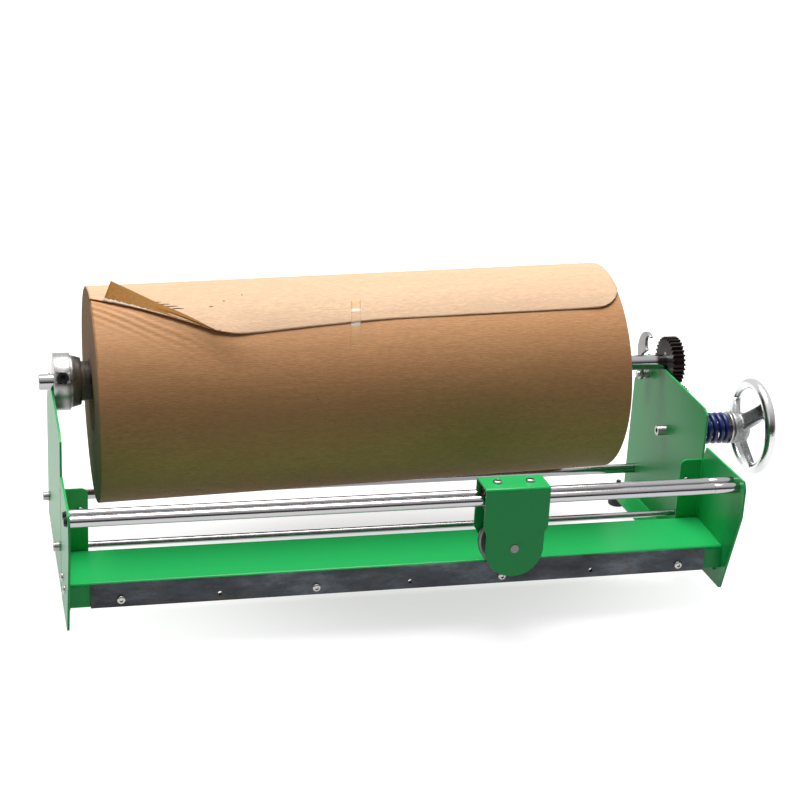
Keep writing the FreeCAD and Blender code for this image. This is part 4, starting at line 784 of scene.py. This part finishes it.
FOLD_LEFT = (12.0, 29.5)
FOLD_RIGHT = (108.0, 73.5)
FOLD_TIP = (21.0, 10.5)
FOLD_RAGGED = 0.05
EDGE_LOW = (129.0, 77.5)
EDGE_DIP = 9.0
EDGE_DIP_REACH = 150.0
FLAP_REAR = -38.0
FLAP_GAP = 0.2
CORNER_ROUND = 27.0
CORNER_LIFT = 2.6
CORNER_REACH = 60.0
SWELL_ABOVE = 30.0
SWELL_BELOW = 17.0
SWELL_BESIDE = 26.0
SWELL_LOSS = 0.5
OVER_SHEET = 0.35
TAPE_PLACE = 243.0
TAPE_BELOW = 1.0
TAPE_SIZE = (9.3, 50.0)
TAPE_LEAN = -9.0
TAPE_GAP = 0.12
TAPE_STEP = (2.5, 1.5)
TAPE_THICK = 0.06
SLITS = ((59.0, 35.5, 9.0), (65.0, 39.0, 13.0), (71.0, 42.5, 14.0), (77.0, 46.0, 12.0),
         (108.0, 44.0, 4.0), (121.0, 35.0, 2.5), (139.0, 26.0, 2.0))
SLIT_WIDTH = 1.0
THIN = 0.1

# The creased turn under it: where it starts, its size, and its creases' pitch, slant, middle
# line below the fold, spread and reach. UNDER_PART is its part of the full swell.


RIPPLE_START = (0.8, 15.0)
RIPPLE_SIZE = (165.0, 100.0)
RIPPLE_PITCH = 8.0
RIPPLE_SLANT = 0.62
RIPPLE_BELOW = 14.0
RIPPLE_SPREAD = 15.0
RIPPLE_REACH = 105.0
RIPPLE_BORDER = 40.0
RIPPLE_SINK = 0.35
RIPPLE_GAP = 0.08
UNDER_PART = 0.55


class CUTTER_OT_loose_turn(bpy.types.Operator):
    """Makes the loose outer turn with its folded corner and the strip of tape"""

    bl_idname = "cutter.loose_turn"
    bl_label = "Loose turn"

    def execute(self, context):
        settings = context.scene.cutter_paper
        roll = Turned("paper_roll", "roll_spin")
        turn = (0.0, -roll.tilt, 0.0)
        # The loose turn's paler colour is painted light on the roll's top, and fades to the roll's
        # paper colour behind the top
        top = kraft("kraft_paper_loose_turn_painted_light", settings.loose, roll.start, turn,
                    tuple(settings.paper))
        front = settings.edge_angle * roll.outer / MM
        long = roll.length / MM
        bm = flat_sheet((0.0, FLAP_REAR), (long, front), 220, 56)
        round_corner(bm, long, front)
        for vert in bm.verts:
            vert.co.y += dip(vert.co.x) * free_part(vert.co.y, front)
        cut_sheet(bm, FOLD_LEFT, FOLD_RIGHT)
        cut_sheet(bm, FOLD_RIGHT, EDGE_LOW)

        def height(s, a):
            free = free_part(a, front)
            wave = 0.5 + 0.5 * noise.noise((s * 0.018, 3.0, 0.0))
            left = settings.swell * swelling(s, a)
            far = max(0.0, (s - long + CORNER_REACH) / CORNER_REACH)
            right = CORNER_LIFT * MM * far ** 2 * free ** 4
            return FLAP_GAP * MM + settings.lift * free ** 3 * wave + left + right

        wrap(bm, roll, height)
        made = make_object(bm, "paper_flap_sheet", top, "roll", ("paper_flap",))
        thicken(made, settings.ply)
        self.make_ripples(settings, roll, turn)
        self.make_fold(settings, roll, height)
        self.make_slits(roll, height)
        self.make_tape(roll, front, height)
        return {"FINISHED"}

    def make_ripples(self, settings, roll, turn):
        """The next turn of paper, drawn up in creases below the folded corner."""
        long = RIPPLE_SIZE[0]
        bottom = RIPPLE_START[1] + RIPPLE_SIZE[1]
        bm = flat_sheet(RIPPLE_START, (RIPPLE_START[0] + long, bottom), 120, 110)

        def height(s, a):
            away = below_fold(s, a)
            fade = math.exp(-((away - RIPPLE_BELOW) / RIPPLE_SPREAD) ** 2)
            fade *= max(0.0, 1.0 - s / RIPPLE_REACH)
            bend = 2.0 * noise.noise((s * 0.03, a * 0.03, 5.0))
            crease = math.sin((a - RIPPLE_SLANT * s + bend) * math.tau / RIPPLE_PITCH)
            rise = UNDER_PART * settings.swell * swelling(s, a)
            inside = min(1.0, (long - s) / RIPPLE_BORDER, (bottom - a) / RIPPLE_BORDER)
            sink = RIPPLE_SINK * MM * (1.0 - max(0.0, inside)) ** 2
            return RIPPLE_GAP * MM - sink + rise + settings.ripple * fade * (0.5 + 0.5 * crease)

        wrap(bm, roll, height)
        paper = kraft("kraft_paper_under_fold", settings.paper, roll.start, turn)
        made = make_object(bm, "paper_roll_creased_turn", paper, "roll")
        thicken(made, THIN * MM)

    def make_fold(self, settings, roll, height):
        """The folded corner: ruled from its crease on the sheet to a straight free edge."""
        bm = unit_grid("fold", 40, 12)
        tip = on_roll(roll, *FOLD_TIP, settings.fold_height)
        end = on_roll(roll, *FOLD_RIGHT, height(*FOLD_RIGHT) + settings.ply)
        for vert in bm.verts:
            along = vert.co.x + 0.5
            away = vert.co.y + 0.5
            s, a = Vector(FOLD_LEFT).lerp(Vector(FOLD_RIGHT), along)
            crease = on_roll(roll, s, a, height(s, a) + settings.ply)
            ragged = FOLD_RAGGED * noise.noise((along * 34.0, 0.0, 0.0)) * (1.0 - away)
            place = crease.lerp(tip.lerp(end, along), away + ragged)
            radius = math.hypot(place.y, place.z)
            angle = math.atan2(-place.y, place.z)
            least = height(place.x / MM, angle * roll.outer / MM) + 2 * settings.ply
            scale = max(radius, roll.outer + least * min(1.0, away + 0.5)) / radius
            vert.co = Vector((place.x, place.y * scale, place.z * scale))
        bmesh.ops.remove_doubles(bm, verts=bm.verts, dist=1e-5)
        bmesh.ops.transform(bm, matrix=roll.matrix, verts=bm.verts)
        made = make_object(bm, "paper_flap_folded_corner",
                           folded_kraft(settings.underside, settings.torn), "roll")
        thicken(made, settings.ply)

    def make_slits(self, roll, height):
        """Short tears in the loose turn, beside the folded corner, drawn as dark ellipses of
        painted shade.
        """
        bm = bmesh.new()
        for s, a, long in SLITS:
            made = bmesh.ops.create_circle(bm, cap_ends=True, radius=0.5, segments=12)["verts"]
            size = Matrix.Diagonal((long, SLIT_WIDTH, 1.0, 1.0))
            place = Matrix.Translation((s, a, 0.0))
            bmesh.ops.transform(bm, matrix=place @ size, verts=made)
        wrap(bm, roll, lambda s, a: height(s, a) + OVER_SHEET * MM)
        # The dark ellipses paint the shade inside the tears; they lie just over the sheet
        shadow = plain_paint("torn_shadow", TORN_SHADOW, 0.9)
        made = make_object(bm, "paper_flap_tear_shadows", shadow, "roll")
        thicken(made, THIN * MM)

    def make_tape(self, roll, front, height):
        """The strip of clear tape across the free edge, which steps down to the roll."""
        bm = unit_grid("tape", 6, 30)
        for vert in bm.verts:
            down = vert.co.y
            vert.co = Vector((TAPE_PLACE + vert.co.x * TAPE_SIZE[0] + (down + 0.5) * TAPE_LEAN,
                              front + TAPE_BELOW + down * TAPE_SIZE[1], 0.0))

        def tape_height(s, a):
            step = min(max((front + TAPE_STEP[0] - a) / TAPE_STEP[1], 0.0), 1.0)
            return TAPE_GAP * MM + step * (height(s, min(a, front)) + OVER_SHEET * MM)

        wrap(bm, roll, tape_height)
        made = make_object(bm, "clear_tape_strip", clear_tape_painted_glints(), "roll")
        thicken(made, TAPE_THICK * MM)


def free_part(a, front):
    """How far round the loose turn a point lies: 0 at its held end, 1 at its free edge."""
    return max(0.0, (a - FLAP_REAR) / (front - FLAP_REAR))


def dip(s):
    """How much further down the free edge hangs near the folded corner."""
    away = max(0.0, s - EDGE_LOW[0]) / EDGE_DIP_REACH
    return EDGE_DIP * max(0.0, 1.0 - away) ** 1.3


def below_fold(s, a):
    """Distance round the roll from the folded corner's crease, or from its line prolonged."""
    slope = (FOLD_RIGHT[1] - FOLD_LEFT[1]) / (FOLD_RIGHT[0] - FOLD_LEFT[0])
    return a - FOLD_LEFT[1] - slope * (s - FOLD_LEFT[0])


def swelling(s, a):
    """Part of the full swell: most along the crease, less at the roll's end."""
    away = below_fold(min(s, EDGE_LOW[0]), a)
    over = math.exp(-(away / (SWELL_ABOVE if away < 0.0 else SWELL_BELOW)) ** 2)
    right = max(0.0, s - FOLD_RIGHT[0]) / SWELL_BESIDE
    left = 1.0 - SWELL_LOSS * max(0.0, FOLD_RIGHT[0] - s) / FOLD_RIGHT[0]
    return over * left * math.exp(-right * right)


def on_roll(roll, s, a, height):
    """A point at a height over the roll, in the roll's own axes."""
    angle = a * MM / roll.outer
    radius = roll.outer + height
    return Vector((s * MM, -radius * math.sin(angle), radius * math.cos(angle)))


def flat_sheet(low, high, columns, rows):
    """A flat grid in millimetres along the roll and round it."""
    bm = bmesh.new()
    bmesh.ops.create_grid(bm, x_segments=columns, y_segments=rows, size=0.5)
    size = Matrix.Diagonal((high[0] - low[0], high[1] - low[1], 1.0, 1.0))
    middle = Matrix.Translation(((low[0] + high[0]) / 2, (low[1] + high[1]) / 2, 0.0))
    bmesh.ops.transform(bm, matrix=middle @ size, verts=bm.verts)
    return bm


def unit_grid(name, columns, rows):
    """A grid of one by one, with a map of the same size."""
    bm = bmesh.new()
    maps = bm.loops.layers.uv.new(name)
    bmesh.ops.create_grid(bm, x_segments=columns, y_segments=rows, size=0.5)
    for face in bm.faces:
        for loop in face.loops:
            loop[maps].uv = (loop.vert.co.x + 0.5, loop.vert.co.y + 0.5)
    return bm


def cut_away(bm, place, normal):
    """Cuts away what lies beyond a plane."""
    everything = list(bm.verts) + list(bm.edges) + list(bm.faces)
    bmesh.ops.bisect_plane(bm, geom=everything, dist=1e-5, plane_co=place, plane_no=normal,
                           clear_outer=True, clear_inner=False)


def cut_sheet(bm, start, end):
    """Cuts away what lies in front of the line from start to end."""
    line = Vector((*end, 0.0)) - Vector((*start, 0.0))
    cut_away(bm, (*start, 0.0), Vector((-line.y, line.x, 0.0)))


def round_corner(bm, long, front):
    """Rounds the sheet's corner at the far end with a few cuts."""
    centre = Vector((long - CORNER_ROUND, front - CORNER_ROUND, 0.0))
    for step in range(1, 6):
        turn = step * math.pi / 12
        normal = Vector((math.cos(turn), math.sin(turn), 0.0))
        cut_away(bm, centre + normal * CORNER_ROUND, normal)


def wrap(bm, roll, height):
    """Rolls a flat sheet round the paper roll at a height over it."""
    for vert in bm.verts:
        s, a = vert.co.x, vert.co.y
        vert.co = on_roll(roll, s, a, height(s, a))
    bmesh.ops.transform(bm, matrix=roll.matrix, verts=bm.verts)


def thicken(thing, thickness):
    """Gives a sheet its thickness, half to each side."""
    solid = thing.modifiers.new("ply", "SOLIDIFY")
    solid.thickness = thickness
    solid.offset = 0.0


# The handwheel: hub and bore in millimetres, where its spokes start in parts of the hub's
# length and radius, and their width in the middle and towards both ends


HUB_RADIUS = 16.0
HUB_LENGTH = 18.0
BORE_RADIUS = 5.05
SPOKE_START = (0.62, 0.5)
SPOKE_WAIST = 0.90
SPOKE_FLARE = 0.9


class CUTTER_OT_handwheel(bpy.types.Operator):
    """Makes the dished cast handwheel, with its spokes melted into hub and rim"""

    bl_idname = "cutter.handwheel"
    bl_label = "Handwheel"

    def execute(self, context):
        settings = context.scene.cutter_wheel
        place = Vector(joint("handwheel_turn")["pos_m"])
        low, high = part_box("handwheel")
        rim_radius = (high.z - low.z) / 2 - settings.rim
        rim_x = high.x - settings.rim - low.x
        hub = HUB_RADIUS * MM
        long = HUB_LENGTH * MM
        bore = BORE_RADIUS * MM
        home = Matrix.Translation((low.x, place.y, place.z))
        bm = bmesh.new()
        add_spun(bm, arc((rim_x, rim_radius), settings.rim, 0, 345, 23), 96, home)
        profile = [(0.0, bore), (0.0, hub * 0.78), (2.0 * MM, hub), (long * 0.7, hub * 0.98),
                   (long, hub * 0.86), (long, bore)]
        add_spun(bm, profile, 64, home)
        start = Vector((long * SPOKE_START[0], 0.0, hub * SPOKE_START[1]))
        end = Vector((rim_x, 0.0, rim_radius))
        for index in range(settings.spokes):
            angle = settings.spoke_angle + index * math.tau / settings.spokes
            spin = Matrix.Rotation(math.pi / 2 - angle, 4, "X").inverted()
            self.add_spoke(bm, settings, start, end, home @ spin)
        metal = cast_wheel(settings.metal, tuple(place), rim_radius - 3.0 * settings.rim,
                           rim_radius - settings.rim)
        made = make_object(bm, "handwheel_cast", metal, "handwheel",
                           ("handwheel",), 60.0)
        melt(made, settings.voxel)
        return {"FINISHED"}

    def add_spoke(self, bm, settings, start, end, place):
        """A flat spoke with rounded long edges, a little wider at the hub and the rim."""
        long = (end - start).length
        bar = bmesh.new()
        bmesh.ops.create_cube(bar, size=1.0)
        size = Matrix.Diagonal((settings.spoke_depth, settings.spoke_width, long, 1.0))
        bmesh.ops.transform(bar, matrix=size, verts=bar.verts)
        bmesh.ops.bevel(bar, geom=lengthwise(bar, long), offset=settings.spoke_edge, segments=3,
                        affect="EDGES", profile=0.5, material=-1)
        bmesh.ops.subdivide_edges(bar, edges=lengthwise(bar, long), cuts=7, use_grid_fill=True)
        for vert in bar.verts:
            part = vert.co.z / long
            vert.co.y *= SPOKE_WAIST + SPOKE_FLARE * part * part
        lean = Matrix.Rotation(math.atan2(end.x - start.x, end.z - start.z), 4, "Y")
        shift = Matrix.Translation((start + end) / 2)
        bmesh.ops.transform(bar, matrix=place @ shift @ lean, verts=bar.verts)
        mesh = bpy.data.meshes.new("spoke")
        bar.to_mesh(mesh)
        bar.free()
        bm.from_mesh(mesh)
        bpy.data.meshes.remove(mesh)


def lengthwise(bm, long):
    """The edges that run the length of an upright bar."""
    return [edge for edge in bm.edges
            if abs(edge.verts[0].co.z - edge.verts[1].co.z) > long * 0.5]


def melt(thing, voxel):
    """Joins overlapping closed forms into one skin and rounds where they meet."""
    remesh = thing.modifiers.new("melt", "REMESH")
    remesh.mode = "VOXEL"
    remesh.voxel_size = voxel
    remesh.use_smooth_shade = True
    smooth = thing.modifiers.new("round", "SMOOTH")
    smooth.factor = 0.5
    smooth.iterations = 6


# The stage, in metres: the camera's place from the middle of the plates and the left wing's
# nose, and its turns; the white backdrop; the floor's glow by distance; the lamps


CAMERA_SIDE = -0.3963
CAMERA_BACK = 1.4051
CAMERA_HEIGHT = 0.7465
CAMERA_YAW = math.radians(15.03)
CAMERA_PITCH = math.radians(19.96)
CAMERA_ROLL = math.radians(3.11)
WING_NOSE = 0.027
BACKDROP_LEAN = (0.0, 0.5, 0.8)
BACKDROP_RANGE = (-0.20, 0.50)
BACKDROP_DIM = 0.05
FLOOR_RADIUS = 30.0
GLOW_NEAR = 0.08
GLOW_FAR = 0.33
KEY_PLACE = (0.05, 0.40, 2.0)
KEY_SIZE = 1.5
FILL_PLACE = (-1.1, -1.5, 1.3)
FILL_SIZE = 0.8
LAMP_AIM = (0.0, 0.0, 0.12)


class CUTTER_OT_stage(bpy.types.Operator):
    """Sets the floor, the even light, the lamps and the camera"""

    bl_idname = "cutter.stage"
    bl_label = "Stage"

    def execute(self, context):
        settings = context.scene.cutter_stage
        scene = context.scene
        scene.view_settings.view_transform = "Standard"
        self.make_floor(settings)
        self.make_sky(scene, settings)
        self.make_lamp("overhead_lamp", KEY_PLACE, KEY_SIZE, settings.key_power)
        self.make_lamp("front_lamp", FILL_PLACE, FILL_SIZE, settings.fill_power)
        self.make_camera(scene, settings)
        return {"FINISHED"}

    def make_floor(self, settings):
        """A pale floor that glows white to the camera and in mirrors, less near the object."""
        bm = bmesh.new()
        bmesh.ops.create_circle(bm, cap_ends=True, radius=FLOOR_RADIUS, segments=96)
        mesh = bpy.data.meshes.new("floor")
        bm.to_mesh(mesh)
        bm.free()
        floor = bpy.data.objects.new("floor", mesh)
        paint = Paint("pale_floor", Base_Color=settings.floor, Roughness=0.9,
                      Specular_IOR_Level=0.1)
        away = paint.distance(paint.node("TexCoord").outputs["Object"])
        glow = paint.between(away, GLOW_NEAR, GLOW_FAR, (settings.floor_glow, 1.0), "SMOOTHSTEP")
        rays = paint.node("LightPath").outputs
        seen = paint.calculate("MAXIMUM", rays["Is Camera Ray"], rays["Is Glossy Ray"])
        seen = paint.calculate("MAXIMUM", seen, rays["Is Transmission Ray"])
        light = paint.node("Emission")
        light.inputs["Color"].default_value = (*WHITE, 1.0)
        paint.link(paint.calculate("MULTIPLY", seen, glow), light.inputs["Strength"])
        both = paint.node("AddShader")
        output = paint.tree.nodes["Material Output"]
        paint.link(paint.shader.outputs["BSDF"], both.inputs[0])
        paint.link(light.outputs["Emission"], both.inputs[1])
        paint.link(both.outputs["Shader"], output.inputs["Surface"])
        mesh.materials.append(paint.material)
        bpy.context.scene.collection.objects.link(floor)

    def make_sky(self, scene, settings):
        """A white backdrop that is dimmer where a room's front would be, and a low even light."""
        world = bpy.data.worlds.new("white_backdrop")
        scene.world = world
        world.use_nodes = True
        sky = Nodes(world.node_tree)
        lean = sky.node("VectorMath", operation="DOT_PRODUCT")
        lean.inputs[1].default_value = BACKDROP_LEAN
        sky.link(sky.node("TexCoord").outputs["Generated"], lean.inputs[0])
        backdrop = sky.between(lean.outputs["Value"], *BACKDROP_RANGE, (BACKDROP_DIM, 1.0))
        rays = sky.node("LightPath").outputs
        mirrored = sky.calculate("MAXIMUM", rays["Is Glossy Ray"], rays["Is Transmission Ray"])
        level = sky.between(mirrored, 0.0, 1.0, (settings.sky, backdrop))
        white = sky.between(rays["Is Camera Ray"], 0.0, 1.0, (level, 1.0))
        background = sky.tree.nodes["Background"]
        background.inputs["Color"].default_value = (*WHITE, 1.0)
        sky.link(white, background.inputs["Strength"])

    def make_lamp(self, name, place, size, power):
        """A round soft lamp that shines on the object and isn't seen itself."""
        lamp = bpy.data.lights.new(name, "AREA")
        lamp.shape = "DISK"
        lamp.size = size
        lamp.energy = power
        thing = bpy.data.objects.new(name, lamp)
        thing.location = place
        aim = Vector(LAMP_AIM) - Vector(place)
        thing.rotation_mode = "QUATERNION"
        thing.rotation_quaternion = aim.to_track_quat("-Z", "Y")
        thing.visible_camera = False
        bpy.context.scene.collection.objects.link(thing)

    def make_camera(self, scene, settings):
        """The camera that was fitted to the photograph."""
        data = bpy.data.cameras.new("camera")
        data.sensor_width = 36.0
        data.lens = settings.lens
        data.clip_end = 100.0
        camera = bpy.data.objects.new("camera", data)
        forward = Vector((math.sin(CAMERA_YAW) * math.cos(CAMERA_PITCH),
                          math.cos(CAMERA_YAW) * math.cos(CAMERA_PITCH), -math.sin(CAMERA_PITCH)))
        level = Vector((math.cos(CAMERA_YAW), -math.sin(CAMERA_YAW), 0.0))
        above = level.cross(forward)
        right = level * math.cos(CAMERA_ROLL) + above * math.sin(CAMERA_ROLL)
        up = above * math.cos(CAMERA_ROLL) - level * math.sin(CAMERA_ROLL)
        turned = Matrix((right, up, -forward)).transposed().to_4x4()
        left, right_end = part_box("left_side_plate")[0].x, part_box("right_side_plate")[1].x
        wing_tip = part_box("left_wing_plate")[0].y + WING_NOSE
        place = ((left + right_end) / 2 + CAMERA_SIDE, wing_tip - CAMERA_BACK, CAMERA_HEIGHT)
        camera.matrix_world = Matrix.Translation(place) @ turned
        bpy.context.scene.collection.objects.link(camera)
        scene.camera = camera


class CUTTER_PT_panel(bpy.types.Panel):
    """Lists the pieces in the 3D view's sidebar"""

    bl_idname = "CUTTER_PT_panel"
    bl_label = "Gift Wrap Cutter"
    bl_space_type = "VIEW_3D"
    bl_region_type = "UI"
    bl_category = "Cutter"

    def draw(self, context):
        for operator in PIECES:
            self.layout.operator(operator.bl_idname)


SETTINGS = {
    "cutter_paper": PaperSettings,
    "cutter_metal": MetalSettings,
    "cutter_wheel": WheelSettings,
    "cutter_stage": StageSettings,
}

PIECES = (
    CUTTER_OT_sheet_metal,
    CUTTER_OT_blade,
    CUTTER_OT_rods,
    CUTTER_OT_turned_steel,
    CUTTER_OT_brake,
    CUTTER_OT_black_parts,
    CUTTER_OT_button_screws,
    CUTTER_OT_feet,
    CUTTER_OT_paper_roll,
    CUTTER_OT_loose_turn,
    CUTTER_OT_handwheel,
    CUTTER_OT_stage,
)


def register():
    for name, group in SETTINGS.items():
        bpy.utils.register_class(group)
        setattr(bpy.types.Scene, name, PointerProperty(type=group))
    for item in (*PIECES, CUTTER_PT_panel):
        bpy.utils.register_class(item)


def unregister():
    for item in (CUTTER_PT_panel, *reversed(PIECES)):
        bpy.utils.unregister_class(item)
    for name, group in SETTINGS.items():
        delattr(bpy.types.Scene, name)
        bpy.utils.unregister_class(group)


def main():
    register()
    for operator in PIECES:
        getattr(bpy.ops.cutter, operator.bl_idname.split(".")[1])()


if __name__ == "__main__":
    main()
